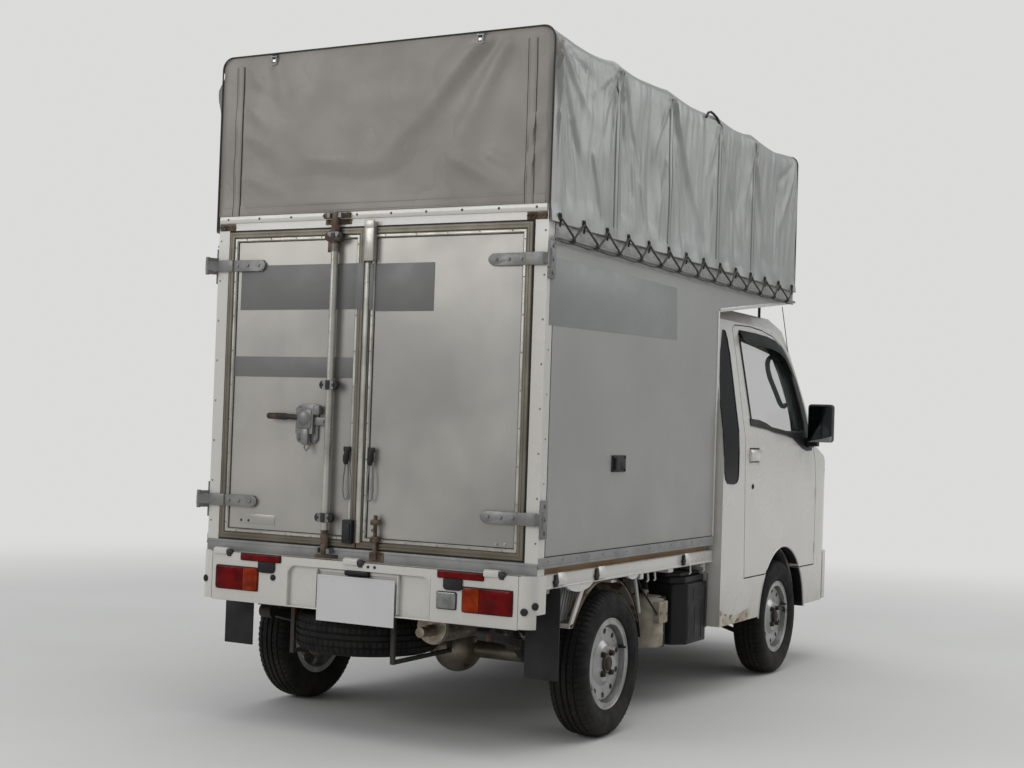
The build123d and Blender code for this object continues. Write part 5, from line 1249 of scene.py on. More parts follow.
def plate_parts():
    """The lamp over the rear plate, and the raised rims of both plates."""
    lamp = Form()
    lamp.prism([(-1.6970, 0.5975), (-1.6970, 0.5865), (-1.6900, 0.5795), (-1.6760, 0.5795),
                (-1.6760, 0.5975)], (-0.050, 0.050), "x", 0.002)
    lamp.done("plate_lamp", "black_plastic")
    rim = Form()
    rim.ring_frame(PLATE_X, (0.412, 0.577), ((0.0, 0.0), (0.0, 0.0006), (0.003, 0.0009), (0.006, 0.0006),
                                             (0.0065, -0.0002)), PLATE_Y)
    for x in (-0.105, 0.105):
        rim.lathe(((-0.0002, 0), (-0.0002, 0.0085), (0.0005, 0.0085), (0.0009, 0.006), (0.0009, 0)),
                  (x, PLATE_Y, 0.563), BACK, 20)
    rim.done("plate_rim", "plate_white")
    front = Form().ring_frame(PLATE_X, (0.478, 0.643), ((0.0, 0.0), (0.0, -0.0005), (0.003, -0.0005),
                                                        (0.006, -0.0003), (0.0065, 0.0)), 1.6969)
    front.done("front_plate_rim", "plate_white")


LATCHES = ((-1.530, -1.440), (-1.200, -1.110), (-0.362, -0.272))


def bed_side():
    """The bed's side rails with latches and hooks, and a brace and a ribbed plate at the rear wheel."""
    for name, side in SIDES:
        rail = Form()
        rail.box(pair(side, 0.6965, 0.7025), (-1.620, -0.010), (0.584, 0.628), 0.002)
        rail.tube([(side * 0.6995, -1.620, 0.5835), (side * 0.6995, -0.010, 0.5835)], 0.0050, 8)
        for low, high, drop in ((-1.435, -1.195, 0.034), (-0.905, -0.785, 0.024)):
            lobe = [(low + (high - low) * t, 0.588 - drop * math.sin(math.pi * t) ** 0.6)
                    for t in np.linspace(0, 1, 13)]
            rail.prism(lobe, pair(side, 0.690, 0.7015), "x", 0.001)
        for low, high in LATCHES:
            rail.prism([(side * 0.7020, 0.6300), (side * 0.7020, 0.5900), (side * 0.7130, 0.5900),
                        (side * 0.7145, 0.6080), (side * 0.7060, 0.6340)], (low + 0.022, high), "y", 0.002)
        rail.done("bed_rail_" + name, "white_paint")
        latch = Form()
        for low, _ in LATCHES:
            latch.box(pair(side, 0.7020, 0.7130), (low, low + 0.019), (0.5850, 0.6280), 0.003)
            latch.tube([(side * 0.7075, low - 0.006, 0.602), (side * 0.7075, low + 0.030, 0.602)], 0.006, 10)
        latch.done("bed_latches_" + name, "dark_steel")
        hooks = Form()
        for y in (-0.683, -0.613, -0.238, -0.085):
            hooks.tube([(side * 0.690, y, 0.588), (side * 0.692, y, 0.562), (side * 0.694, y, 0.548),
                        (side * 0.688, y, 0.542)], 0.0042, 8)
        hooks.tube([(side * 0.668, -0.745, 0.580), (side * 0.664, -0.745, 0.562),
                    (side * 0.640, -0.640, 0.415)], 0.007, 8)
        hooks.box(pair(side, 0.676, 0.694), (-0.762, -0.730), (0.556, 0.584), 0.002)
        hooks.done("bed_hooks_" + name, "white_paint")
        brace = Form()
        brace.prism([(-1.262, 0.584), (-1.232, 0.584), (-1.345, 0.425), (-1.370, 0.425)],
                    pair(side, 0.680, 0.690), "x", 0.002)
        brace.prism([(-1.365, 0.425), (-1.340, 0.425), (-1.338, 0.440), (-1.362, 0.440)],
                    pair(side, 0.625, 0.690), "x", 0.001)
        brace.done("fender_brace_" + name, "white_paint")
        ribs = Form()
        for i in range(7):
            y = -1.375 + i * 0.021
            ribs.prism([(y, 0.580 - 0.004 * i), (y + 0.012, 0.578 - 0.004 * i), (y - 0.030, 0.450),
                        (y - 0.042, 0.450)], pair(side, 0.646, 0.656), "x", 0.002)
        ribs.prism([(-1.395, 0.585), (-1.215, 0.570), (-1.300, 0.440), (-1.440, 0.440)],
                   pair(side, 0.640, 0.647), "x", 0.001)
        ribs.done("fender_plate_" + name, "sill_grey")


LINER_RADIUS = 0.318


def liners():
    """Dirty wheel arch liners under the bed."""
    for name, side in SIDES:
        rows = []
        for t in np.linspace(math.radians(24), math.radians(150), 22):
            y = REAR_AXLE_Y + LINER_RADIUS * math.cos(t)
            z = min(AXLE_Z + LINER_RADIUS * math.sin(t), 0.576)
            rows.append([(side * x, y, z + lift) for x, lift in
                         ((0.560, 0.0), (0.600, 0.0025), (0.640, 0.0), (0.678, 0.0025), (0.690, -0.004))])
        thicken(Form().loft(rows).done("arch_liner_" + name, "rusty_paint", slot="white_paint"), 0.002, 1)


tail_lamps()
panel_tabs()
panel_stops()
panel_pressings()
plate_parts()
bed_side()
liners()

# Wheels

TREAD = (
    # across, radius, what the shoulder cuts do to it
    (-0.0467, 0.1503, 0), (-0.0515, 0.1580, 0), (-0.0560, 0.1690, 0), (-0.0610, 0.1770, 0),
    (-0.0628, 0.1785, 0), (-0.0634, 0.1815, 0), (-0.0668, 0.1900, 0), (-0.0722, 0.2060, 0),
    (-0.0725, 0.2180, 0), (-0.0712, 0.2300, 0), (-0.0722, 0.2315, 0), (-0.0718, 0.2345, 0),
    (-0.0698, 0.2390, 0), (-0.0672, 0.2465, 0.3), (-0.0635, 0.2545, 1), (-0.0560, 0.2610, 1),
    (-0.0500, 0.2640, 1), (-0.0405, 0.2662, 1), (-0.0395, 0.2600, 0), (-0.0345, 0.2600, 0),
    (-0.0335, 0.2668, 1), (-0.0150, 0.2680, 0.6), (-0.0140, 0.2605, 0), (-0.0085, 0.2605, 0),
    (-0.0075, 0.2680, 0.4), (0.0, 0.2680, 0.0),
)
SEGMENTS = 216
NOTCH = 0.0055
HUB_REACH = 0.045
BOLT_CIRCLE = 0.050
WEIGHT_TURN = math.radians(205)
VALVE_TURN = math.radians(20)


def tyre_piece(name, centre, axis, body, replaced):
    """A tyre with grooves round it, cut shoulders and slanted middle ribs."""
    profile = list(TREAD) + [(-a, r, cut) for a, r, cut in reversed(TREAD[:-1])]
    axis = Vector(axis)
    normal = axis.orthogonal().normalized()
    other = axis.cross(normal)
    rings = []
    for a, radius, cut in profile:
        ring = []
        for k in range(SEGMENTS):
            offset = 1 if a > 0 else 0
            low = radius - (NOTCH * cut if (k + offset) % 3 == 0 else 0.0)
            skew = 0.35 * a / 0.07 * (1 if abs(a) < 0.034 else 0)
            t = 2 * math.pi * (k + skew) / SEGMENTS
            ring.append(Vector(centre) + axis * a + low * (normal * math.cos(t) + other * math.sin(t)))
        rings.append(ring)
    Form().loft(rings, closed=True).done(name, "tyre_black", body, 32, replaces=(replaced,))


def wheel_nuts(at, axis):
    """Four nuts and the hub's cap."""
    nuts = Form()
    for i in range(4):
        nuts.lathe(((-0.002, 0), (-0.002, 0.0135), (0.004, 0.0125), (0.004, 0.0105), (0.013, 0.0105),
                    (0.0155, 0.0085), (0.0155, 0)),
                   at(HUB_REACH, BOLT_CIRCLE, math.pi / 2 * (i + 0.5)), axis, 6)
    nuts.lathe(((-0.004, 0.0345), (0.003, 0.0345), (0.005, 0.0325), (0.005, 0.0280), (0.013, 0.0265),
                (0.0165, 0.0210), (0.0175, 0.010), (0.0175, 0)), at(HUB_REACH - 0.001), axis, 32)
    return nuts


def rim_lip(at, axis):
    """Two bright rings on the rim, with a balance weight between them."""
    lip = Form()
    turns = np.linspace(0, 2 * math.pi, 64, endpoint=False)
    for radius, thick, reach in ((0.1655, 0.0038, 0.0545), (0.1490, 0.0026, 0.052)):
        lip.tube([at(reach, radius, t) for t in turns], thick, 8, closed=True)
    for shift in (-0.05, -0.025, 0.0, 0.025, 0.05):
        lip.lathe(((0, 0.0042), (0.004, 0.0042), (0.0055, 0.002), (0.0055, 0)),
                  at(0.056, 0.160, WEIGHT_TURN + shift), axis, 8)
    return lip


def valve_stem(at, axis):
    """The valve, near the rim's edge."""
    return Form().lathe(((-0.004, 0.0065), (0.010, 0.0055), (0.022, 0.0042), (0.034, 0.0042), (0.034, 0)),
                        at(0.030, 0.138, VALVE_TURN), axis, 12)


def wheel_pieces():
    """Tread, nuts, rim lips and valve of each wheel, then the spare's tread."""
    for end, y, track in (("front", FRONT_AXLE_Y, 1.305), ("rear", REAR_AXLE_Y, 1.300)):
        for name, side in SIDES:
            def at(reach, radius=0.0, turn=0.0):
                """A point that far out from the wheel's middle, that far from its axle and at that turn."""
                return (side * (track / 2 + reach), y + radius * math.cos(turn),
                        AXLE_Z + radius * math.sin(turn))

            wheel = "%s_%s" % (end, name)
            body = "wheel_" + wheel
            axis = (side, 0, 0)
            tyre_piece("tyre_tread_" + wheel, at(0.0), axis, body, "tyre_" + wheel)
            wheel_nuts(at, axis).done("wheel_nuts_" + wheel, "hub_iron", body)
            rim_lip(at, axis).done("rim_lip_" + wheel, "wheel_silver", body)
            valve_stem(at, axis).done("valve_" + wheel, "black_rubber", body)
    tyre_piece("tyre_tread_spare", (-0.130, -1.4075, 0.355), (0, 0, -1), "truck", "spare_tyre")


wheel_pieces()

# Cabin trim, laid on the cabin's own surfaces

BELT_Z = 1.120
LEAN = 0.17212


def cab_x(z):
    """The cab side's distance from the middle, upright to the belt and leaning in above it."""
    return CAB_X - LEAN * max(0.0, z - BELT_Z)


FRONT_SKIN = surface_of([frame["nodes"][node].data for node in
                         ("cab_front", "cab_glass", "headlamps", "front_grille", "front_bumper", "cab_roof")])


def front_y(x, z):
    """How far forward the cabin's front surface is at x, z."""
    hit = FRONT_SKIN.ray_cast(Vector((x, 3.0, z)), Vector((0, -1, 0)))
    return hit[0].y if hit[0] else 1.6


def laid_band(first, second, side, lift, columns=4, steps=4, rise=None):
    """A panel between two lines of (y, z) on the cab side, standing off by lift, its edges turned down."""
    rows = []
    count = len(first)
    for i in range((count - 1) * steps + 1):
        k, t = divmod(i, steps)
        t /= steps
        if k == count - 1:
            k, t = count - 2, 1.0
        a = [p + (q - p) * t for p, q in zip(first[k], first[k + 1])]
        b = [p + (q - p) * t for p, q in zip(second[k], second[k + 1])]
        row = []
        for c in range(columns + 1):
            share = c / columns
            y, z = (p + (q - p) * share for p, q in zip(a, b))
            off = lift if rise is None else rise(share, i / ((count - 1) * steps))
            row.append((y, z, off))
        turned = -0.001 if rise is None else off - 0.003
        row = [(*row[0][:2], -0.001)] + row + [(*row[-1][:2], turned)]
        rows.append([(side * (cab_x(z) + off), y, z) for y, z, off in row])
    return Form().loft(rows, caps=(0, -1))


WINDOW = [(0.366, 1.196), (0.356, 1.550), (0.366, 1.576), (0.400, 1.586), (0.560, 1.588), (0.740, 1.583),
          (0.868, 1.566), (0.945, 1.535), (1.000, 1.485), (1.050, 1.410), (1.100, 1.300), (1.128, 1.200),
          (1.122, 1.160), (1.080, 1.150), (0.836, 1.150), (0.612, 1.164), (0.430, 1.182)]
SLIT_REAR = [(0.120, 0.914), (0.052, 0.918), (0.026, 0.936), (0.014, 0.965), (0.003, 1.050), (-0.004, 1.150),
             (0.004, 1.270), (0.036, 1.372), (0.088, 1.490), (0.139, 1.571), (0.152, 1.590)]
SLIT_FRONT = [(0.132, 0.914), (0.168, 0.920), (0.184, 0.936), (0.188, 0.965), (0.187, 1.050), (0.186, 1.150),
              (0.190, 1.249), (0.197, 1.372), (0.202, 1.485), (0.190, 1.562), (0.172, 1.590)]
ARCH_RADIUS = 0.337
ARCH_SPLIT_Z = 0.494


def on_cab(points, side, off):
    """Points of (y, z) laid on one side of the cab, standing off it."""
    return [(side * (cab_x(z) + off), y, z) for y, z in points]


def side_window(name, side, door):
    """The door glass's rubber, the pillar and sill trims and the rain visor."""
    rubber = Form().tube(on_cab(WINDOW, side, 0.0005), 0.0060, 8, closed=True)
    rubber.done("window_rubber_" + name, "black_rubber", door)
    outer = [(0.975, 1.548), (1.010, 1.524), (1.056, 1.481), (1.112, 1.405), (1.150, 1.333), (1.178, 1.264),
             (1.198, 1.198), (1.212, 1.150)]
    inner = [(0.945, 1.535), (0.972, 1.512), (1.000, 1.485), (1.050, 1.410), (1.078, 1.350), (1.100, 1.300),
             (1.122, 1.225), (1.126, 1.160)]
    laid_band(inner, outer, side, 0.0035).done("pillar_trim_" + name, "black_plastic", door)
    upper = [(0.350, 1.204), (0.470, 1.200), (0.560, 1.188), (0.640, 1.170), (0.836, 1.156), (1.000, 1.153),
             (1.080, 1.153), (1.130, 1.162), (1.200, 1.152), (1.240, 1.112)]
    lower = [(0.350, 1.172), (0.470, 1.164), (0.560, 1.158), (0.680, 1.144), (0.836, 1.133), (0.936, 1.119),
             (1.010, 1.096), (1.080, 1.074), (1.160, 1.060), (1.236, 1.062)]
    laid_band(upper, lower, side, 0.0045).done("sill_trim_" + name, "black_plastic", door)
    top = [(0.349, 1.586), (0.368, 1.605), (0.560, 1.606), (0.740, 1.601), (0.868, 1.588), (0.950, 1.562),
           (1.010, 1.520), (1.062, 1.456)]
    low = [(0.349, 1.560), (0.368, 1.543), (0.560, 1.545), (0.740, 1.540), (0.856, 1.526), (0.925, 1.502),
           (0.978, 1.466), (1.040, 1.420)]

    def bulge(share, along):
        return 0.004 + 0.022 * math.sin(share * math.pi / 2) * (1 - 0.6 * along ** 3)

    visor = laid_band(top, low, side, 0.0, columns=6, rise=bulge)
    visor.done("sun_visor_" + name, "sun_visor", door, slot="black_plastic")


def slit_window(name, side):
    """The narrow window behind the door: dark glass with a rubber round it."""
    glass = laid_band(SLIT_REAR, SLIT_FRONT, side, 0.0012)
    glass.done("slit_glass_" + name, "glass_dark", "truck", slot="glass_clear")
    edge = Form().tube(on_cab(SLIT_REAR + SLIT_FRONT[::-1], side, 0.0008), 0.0034, 6, closed=True)
    edge.done("slit_rubber_" + name, "black_rubber", "truck")


def door_handle(name, side, door):
    """The recess, the lifting handle with the line under it, and the key's cylinder."""
    grip = Form().box(pair(side, CAB_X - 0.001, CAB_X + 0.0012), (0.3275, 0.4565), (1.006, 1.072), 0.0008)
    grip.done("handle_recess_" + name, "black_rubber", door)
    z = 1.0385
    tall = 0.0260
    handle = Form()
    handle.prism([(side * (CAB_X + 0.000), z - tall - 0.003), (side * (CAB_X + 0.0065), z - tall + 0.001),
                  (side * (CAB_X + 0.0120), z - tall * 0.3), (side * (CAB_X + 0.0130), z + tall * 0.5),
                  (side * (CAB_X + 0.0070), z + tall), (side * (CAB_X + 0.000), z + tall)],
                 (0.326, 0.458), "y", 0.0012)
    handle.prism([(side * CAB_X, 0.9960), (side * (CAB_X + 0.0025), 0.9985),
                  (side * (CAB_X + 0.0025), 1.0020), (side * CAB_X, 1.0045)], (0.318, 0.466), "y", 0.0)
    handle.done("door_handle_" + name, "white_paint", door)
    key = Form()
    key.lathe(((-0.001, 0.0115), (0.0025, 0.0115), (0.004, 0.0095), (0.004, 0.0072), (0.0025, 0.0068),
               (0.0025, 0)), (side * CAB_X, 0.380, 0.897), (side, 0, 0), 20)
    key.box(pair(side, CAB_X + 0.0020, CAB_X + 0.0034), (0.3785, 0.3815), (0.8925, 0.9015), 0.0003)
    key.done("door_lock_" + name, "black_plastic", door)


def front_arch(name, side, door):
    """The lip of the front wheel arch, split at the door, its dark inner edge and the liner inside."""
    arc = []
    for t in np.linspace(math.radians(4), math.radians(176), 34):
        arc.append((side * (CAB_X - 0.0015), FRONT_AXLE_Y + ARCH_RADIUS * math.cos(t),
                    AXLE_Z + ARCH_RADIUS * math.sin(t)))
    door_part = [p for p in arc if p[2] > ARCH_SPLIT_Z]
    front_part = [p for p in arc if p[2] <= ARCH_SPLIT_Z - 0.005 and p[1] > FRONT_AXLE_Y]
    rear_part = [p for p in arc if p[2] <= ARCH_SPLIT_Z - 0.005 and p[1] < FRONT_AXLE_Y]
    Form().tube(door_part, 0.0045, 8).done("arch_lip_" + name, "white_paint", door)
    low_lip = Form()
    for points in (front_part, rear_part):
        low_lip.tube(points, 0.0045, 8)
    low_lip.done("arch_lip_low_" + name, "white_paint", "truck")
    section = ((0.690, 0.984), (0.704, 0.9875), (0.718, 0.984), (0.731, 0.9875), (0.7335, 0.997))
    for part, points, body in (("door", door_part, door), ("front", front_part, "truck"),
                               ("rear", rear_part, "truck")):
        rows = []
        for _, y, z in points:
            dy, dz = y - FRONT_AXLE_Y, z - AXLE_Z
            rows.append([(side * reach, FRONT_AXLE_Y + dy * share, AXLE_Z + dz * share)
                         for reach, share in section])
        thicken(Form().loft(rows).done("arch_edge_%s_%s" % (part, name), "black_plastic", body), 0.0012)
    rows = []
    for t in np.linspace(math.radians(12), math.radians(165), 30):
        y, z = FRONT_AXLE_Y + 0.330 * math.cos(t), AXLE_Z + 0.330 * math.sin(t)
        ridge = 0.003 * math.sin(t * 14)
        rows.append([(side * x, y + ridge * math.cos(t), z + ridge * math.sin(t))
                     for x in (0.470, 0.540, 0.610, 0.680)])
    thicken(Form().loft(rows).done("front_liner_" + name, "black_plastic", "truck"), 0.002)


def mirror_parts(name, side, door):
    """The mirror's glass and the lip under it."""
    outline = mirrored(rounded((0.762, 0.864), (1.116, 1.281), 0.014), side)
    # The glass's dark colour is a painted reflection.
    glass = Form().prism(outline, (1.1098, 1.1130), "y", 0.001)
    glass.done("mirror_glass_" + name, "mirror_glass", door, slot="wheel_silver")
    foot = Form().prism(mirrored([(0.758, 1.105), (0.866, 1.105), (0.8735, 1.118), (0.8735, 1.135),
                                  (0.830, 1.120), (0.775, 1.112)], side), (1.1085, 1.1260), "y", 0.002)
    foot.done("mirror_foot_" + name, "sill_grey", door, slot="black_plastic")


def window_inside(name, side, door):
    """The channel through the door's frame, the windscreen pillar's lining and the grab handle on it."""
    rings = []
    for share, depth in ((1.0, 0.0004), (0.994, 0.0012), (0.994, 0.0185), (0.992, 0.030), (0.992, 0.0520),
                         (1.0, 0.0520)):
        rings.append([(side * (cab_x(z) - depth), 0.742 + (y - 0.742) * share, 1.370 + (z - 1.370) * share)
                      for y, z in WINDOW])
    Form().loft(rings, closed=True).done("window_channel_" + name, "black_rubber", door)
    rows = []
    for y, z in ((0.930, 1.575), (1.000, 1.545), (1.055, 1.504), (1.112, 1.434), (1.152, 1.362),
                 (1.186, 1.290), (1.200, 1.217), (1.196, 1.150)):
        x = cab_x(z) - 0.056
        front = front_y(side * (x - 0.01), z) - 0.012
        rows.append(((side * x, y, z), (side * (x - 0.006), max(front, y + 0.02), z),
                     (side * (x - 0.040), max(front, y + 0.02), z), (side * (x - 0.034), y + 0.006, z)))
    Form().loft(rows, closed=True, caps=(0, -1)).done("inner_pillar_" + name, "black_plastic", "truck")
    line = [(1.095, 1.520), (1.050, 1.517), (1.016, 1.506), (0.990, 1.482), (0.986, 1.452), (1.001, 1.413),
            (1.061, 1.343), (1.100, 1.295), (1.125, 1.280), (1.158, 1.278), (1.190, 1.286)]
    grab = Form().tube([(side * (cab_x(z) - 0.095), y, z) for y, z in line], 0.0120, 12)
    grab.done("grab_handle_" + name, "black_plastic", "truck")


def cab_side_trim():
    """All that is fitted to each side of the cabin."""
    for name, side in SIDES:
        door = "cab_door_" + name
        side_window(name, side, door)
        slit_window(name, side)
        door_handle(name, side, door)
        front_arch(name, side, door)
        mirror_parts(name, side, door)
        window_inside(name, side, door)


def aerial_and_props():
    """The aerial on the pillar and the two props under the overhang."""
    mast = Form()
    mast.lathe(((0, 0.010), (0.020, 0.009), (0.030, 0.005), (0.035, 0)), (0.6600, 1.105, 1.452),
               (0.1, -0.45, 0.9), 12)
    mast.tube([(0.6605, 1.100, 1.462), (0.6640, 1.040, 1.560), (0.6665, 0.985, 1.660),
               (0.6680, 0.930, 1.758)], 0.0021, 6)
    mast.done("antenna", "black_plastic")
    prop = Form()
    for side in (-1, 1):
        prop.lathe(((1.640, 0), (1.640, 0.016), (1.668, 0.014), (1.672, 0.0065), (1.752, 0.0065),
                    (1.756, 0.013), (1.788, 0.013), (1.788, 0)), (side * 0.599, 0.795, 0), UP, 16)
    prop.done("overhang_props", "black_rubber")


def wiper_pair():
    """Both wipers' arms and blades, parked on the windscreen."""
    wipers = Form()
    for pivot, tip in ((0.44, 0.06), (-0.14, -0.46)):
        base = Vector((pivot, front_y(pivot, 1.118) + 0.012, 1.118))
        along = [(pivot + (tip - pivot) * t, 1.128 + 0.10 * t) for t in (0.25, 0.5, 0.75, 1.0)]
        wipers.tube([tuple(base)] + [(x, front_y(x, z) + 0.020, z) for x, z in along], 0.0055, 8)
        wipers.lathe(((-0.010, 0.014), (0.008, 0.013), (0.012, 0.006), (0.012, 0)), base, (0, 0.4, 0.9), 14)
        blade = [(tip - 0.12 + 0.40 * t, 1.215 + 0.03 * t) for t in np.linspace(0, 1, 7)]
        wipers.tube([(x, front_y(x, z) + 0.007, z) for x, z in blade], 0.0045, 6)
    wipers.done("wipers", "black_plastic")


def front_grilles():
    """The grille under the windscreen, the bright slats and the bumper's bars."""
    section = ((1.108, 0.0), (1.106, 0.004), (1.092, 0.0045), (1.078, 0.004), (1.076, -0.002))
    cowl = Form().loft([[(x, front_y(x, z) + off, z) for z, off in section]
                        for x in np.linspace(-0.60, 0.60, 25)])
    cowl.done("cowl_grille", "black_plastic")
    for name, material, slot, heights, half, count, off, radius, sides in (
        ("grille_slats", "bright_aluminium", "wheel_silver", (0.850, 0.870, 0.890), 0.365, 21, 0.002, 0.0048,
         8),
        ("bumper_grille_bars", "black_plastic", None, (0.412, 0.435, 0.458), 0.29, 15, 0.001, 0.0040, 6),
    ):
        bars = Form()
        for z in heights:
            bars.tube([(x, front_y(x, z) + off, z) for x in np.linspace(-half, half, count)], radius, sides)
        bars.done(name, material, slot=slot)


def headlamp_parts():
    """A clear bowl and an amber lamp behind each headlamp's glass, each in a thin bezel."""
    bowls = Form()
    bezels = Form()
    amber = Form()
    turns = np.linspace(0, 2 * math.pi, 40, endpoint=False)
    dish = ((1.02, -0.001), (0.99, 0.0018), (0.80, 0.0012), (0.55, 0.0012), (0.36, 0.0020), (0.25, 0.0040),
            (0.06, 0.0052))
    for _, side in SIDES:
        for middle, height, radius, form in ((0.530, 0.872, 0.062, bowls), (0.640, 0.898, 0.040, amber)):
            def on_face(share, lift):
                ring = [(side * (middle + radius * share * math.cos(t)),
                         height + radius * share * math.sin(t)) for t in turns]
                return [(x, front_y(x, z) + lift, z) for x, z in ring]

            bezels.tube(on_face(1.06, 0.0004), 0.0026, 8, closed=True)
            for share in (0.70, 0.36):
                bezels.tube(on_face(share, 0.0010), 0.0009, 6, closed=True)
            form.loft([on_face(share, lift) for share, lift in dish], closed=True, caps=(-1,))
    bowls.done("headlamp_bowls", "bright_galvanised", slot="lens_clear")
    bezels.done("headlamp_bezels", "dull_metal", slot="wheel_silver")
    amber.done("front_indicators", "lens_amber", slot="lens_clear")


cab_side_trim()
aerial_and_props()
wiper_pair()
front_grilles()
headlamp_parts()

# Seats: each form is remeshed, blown up as cloth and then sewn

CUSHION = [(0.112, 0.7155), (0.573, 0.7155), (0.588, 0.806), (0.562, 0.836), (0.112, 0.822)]
BACK_REST = [(0.072, 0.845), (0.170, 0.848), (0.136, 1.286), (0.074, 1.302)]
HEAD_REST = [(0.076, 1.335), (0.128, 1.330), (0.126, 1.452), (0.084, 1.458)]
VOXEL = 0.0065
SWELL_FRAMES = 20
PRESSURE = 4.0
GROOVE_DEPTH = 0.0065
GROOVE_WIDTH = 0.0055


def swell(obj, pressure, cap, pinned_below):
    """Blows the piece up as cloth, with its lowest points held, and keeps the result."""
    scene = bpy.context.scene
    held = obj.vertex_groups.new(name="held")
    held.add([v.index for v in obj.data.vertices if v.co.z < pinned_below], 1.0, "REPLACE")
    cloth = obj.modifiers.new("cloth", "CLOTH")
    cloth.settings.use_pressure = True
    cloth.settings.uniform_pressure_force = pressure
    cloth.settings.effector_weights.gravity = 0
    cloth.settings.vertex_group_mass = "held"
    cloth.point_cache.frame_start = 1
    cloth.point_cache.frame_end = SWELL_FRAMES
    for step in range(1, SWELL_FRAMES + 1):
        scene.frame_set(step)
    shaped = obj.evaluated_get(bpy.context.evaluated_depsgraph_get()).data
    for vert, swollen in zip(obj.data.vertices, shaped.vertices):
        move = swollen.co - vert.co
        if move.length > cap:
            move *= cap / move.length
        vert.co += move
    obj.modifiers.remove(cloth)
    obj.vertex_groups.clear()
    scene.frame_set(1)


def applied(obj):
    """Works all modifiers into an object's mesh."""
    mesh = bpy.data.meshes.new_from_object(obj.evaluated_get(bpy.context.evaluated_depsgraph_get()))
    obj.modifiers.clear()
    obj.data = mesh


def groove(mesh, lines, depth, width):
    """Presses sewn lines into a mesh; each line is (axis index, value, facing axis index, facing sign)."""
    normals = [v.normal.copy() for v in mesh.vertices]
    for vert, normal in zip(mesh.vertices, normals):
        sink = 0.0
        for index, value, facing, sign in lines:
            if normal[facing] * sign > 0.45:
                gap = abs(vert.co[index] - value)
                sink = max(sink, depth * math.exp(-(gap / width) ** 2))
        vert.co -= normal * sink


def soft_piece(name, outline, span, corner, crown, lines):
    """A stuffed form from a side outline, swollen by at most crown, with its channels pressed in."""
    obj = bpy.data.objects.new(name, Form().prism(outline, span, "x", corner).mesh(name))
    bpy.context.scene.collection.objects.link(obj)
    remesh = obj.modifiers.new("remesh", "REMESH")
    remesh.mode = "VOXEL"
    remesh.voxel_size = VOXEL
    applied(obj)
    swell(obj, PRESSURE, crown, min(z for _, z in outline) + 0.003)
    smooth = obj.modifiers.new("smooth", "SUBSURF")
    smooth.levels = 1
    applied(obj)
    groove(obj.data, lines, GROOVE_DEPTH, GROOVE_WIDTH)
    result = obj.data
    bpy.data.objects.remove(obj)
    for polygon in result.polygons:
        polygon.use_smooth = True
    return result


def piping_for(mesh, paths):
    """Piping that lies on a mesh along the given closed paths."""
    tree = surface_of([mesh])
    cords = Form()
    for points in paths:
        cords.tube([tree.find_nearest(Vector(p))[0] for p in points], 0.0030, 6, closed=True)
    return cords


def flipped(mesh):
    """The mirror image for the other side."""
    other = mesh.copy()
    other.transform(Matrix.Diagonal((-1, 1, 1, 1)))
    other.flip_normals()
    return other


def rim_path(outline, x, steps=9):
    """Points round an outline at one x."""
    points = []
    for a, b in zip(outline, outline[1:] + outline[:1]):
        for k in range(steps):
            t = k / steps
            points.append((x, a[0] + (b[0] - a[0]) * t, a[1] + (b[1] - a[1]) * t))
    return points


def seat_pieces():
    """Cushions, backs and head rests of both seats with their piping, and the metal under them."""
    for name, outline, span, corner, crown, lines, ends, replaced in (
        ("seat_cushion", CUSHION, (0.113, 0.547), 0.016, 0.013,
         [(0, 0.195, 2, 1), (0, 0.465, 2, 1), (1, 0.470, 2, 1), (0, 0.195, 1, 1), (0, 0.465, 1, 1)],
         (0.120, 0.540), ("seats",)),
        ("seat_back", BACK_REST, (0.123, 0.537), 0.016, 0.011,
         [(0, 0.200, 1, 1), (0, 0.460, 1, 1), (2, 0.985, 1, 1), (2, 1.120, 1, 1)], (0.130, 0.530),
         ("seats",)),
        ("seat_head", HEAD_REST, (0.232, 0.428), 0.014, 0.009, [(2, 1.372, 1, 1)], (0.240, 0.420), ()),
    ):
        mesh = soft_piece(name, outline, span, corner, crown, lines)
        cord_mesh = piping_for(mesh, [rim_path(outline, x) for x in ends]).mesh(name + "_piping")
        for side_name, shape, cord in (("right", mesh, cord_mesh),
                                       ("left", flipped(mesh), flipped(cord_mesh))):
            pad = place(shape, "%s_%s" % (name, side_name), "seat_cloth", "truck", replaces=replaced)
            place(cord, "%s_piping_%s" % (name, side_name), "black_plastic", "truck")
    stems = Form()
    for side in (-1, 1):
        for x in (0.285, 0.375):
            stems.lathe(((1.270, 0.0055), (1.345, 0.0055)), (side * x, 0.103, 0), UP, 12)
        for x in (0.175, 0.485):
            stems.prism([(0.085, 0.735), (0.150, 0.735), (0.135, 0.870), (0.100, 0.870)],
                        pair(side, x - 0.004, x + 0.004), "x", 0.001)
    stems.done("seat_stems", "dull_metal", slot="seat_cloth")


# Inside the cabin

DASH_Y = 1.240
FLOOR_Z = 0.495
PLATFORM_Z = 0.715
WHEEL_CENTRE = Vector((0.330, 1.060, 1.000))
COLUMN = Vector((0, -0.5, 0.75 ** 0.5))
DOOR_INNER_X = 0.688


def dash_span(first, second):
    """The span of y between two distances behind the dashboard's face."""
    return DASH_Y - first, DASH_Y - second


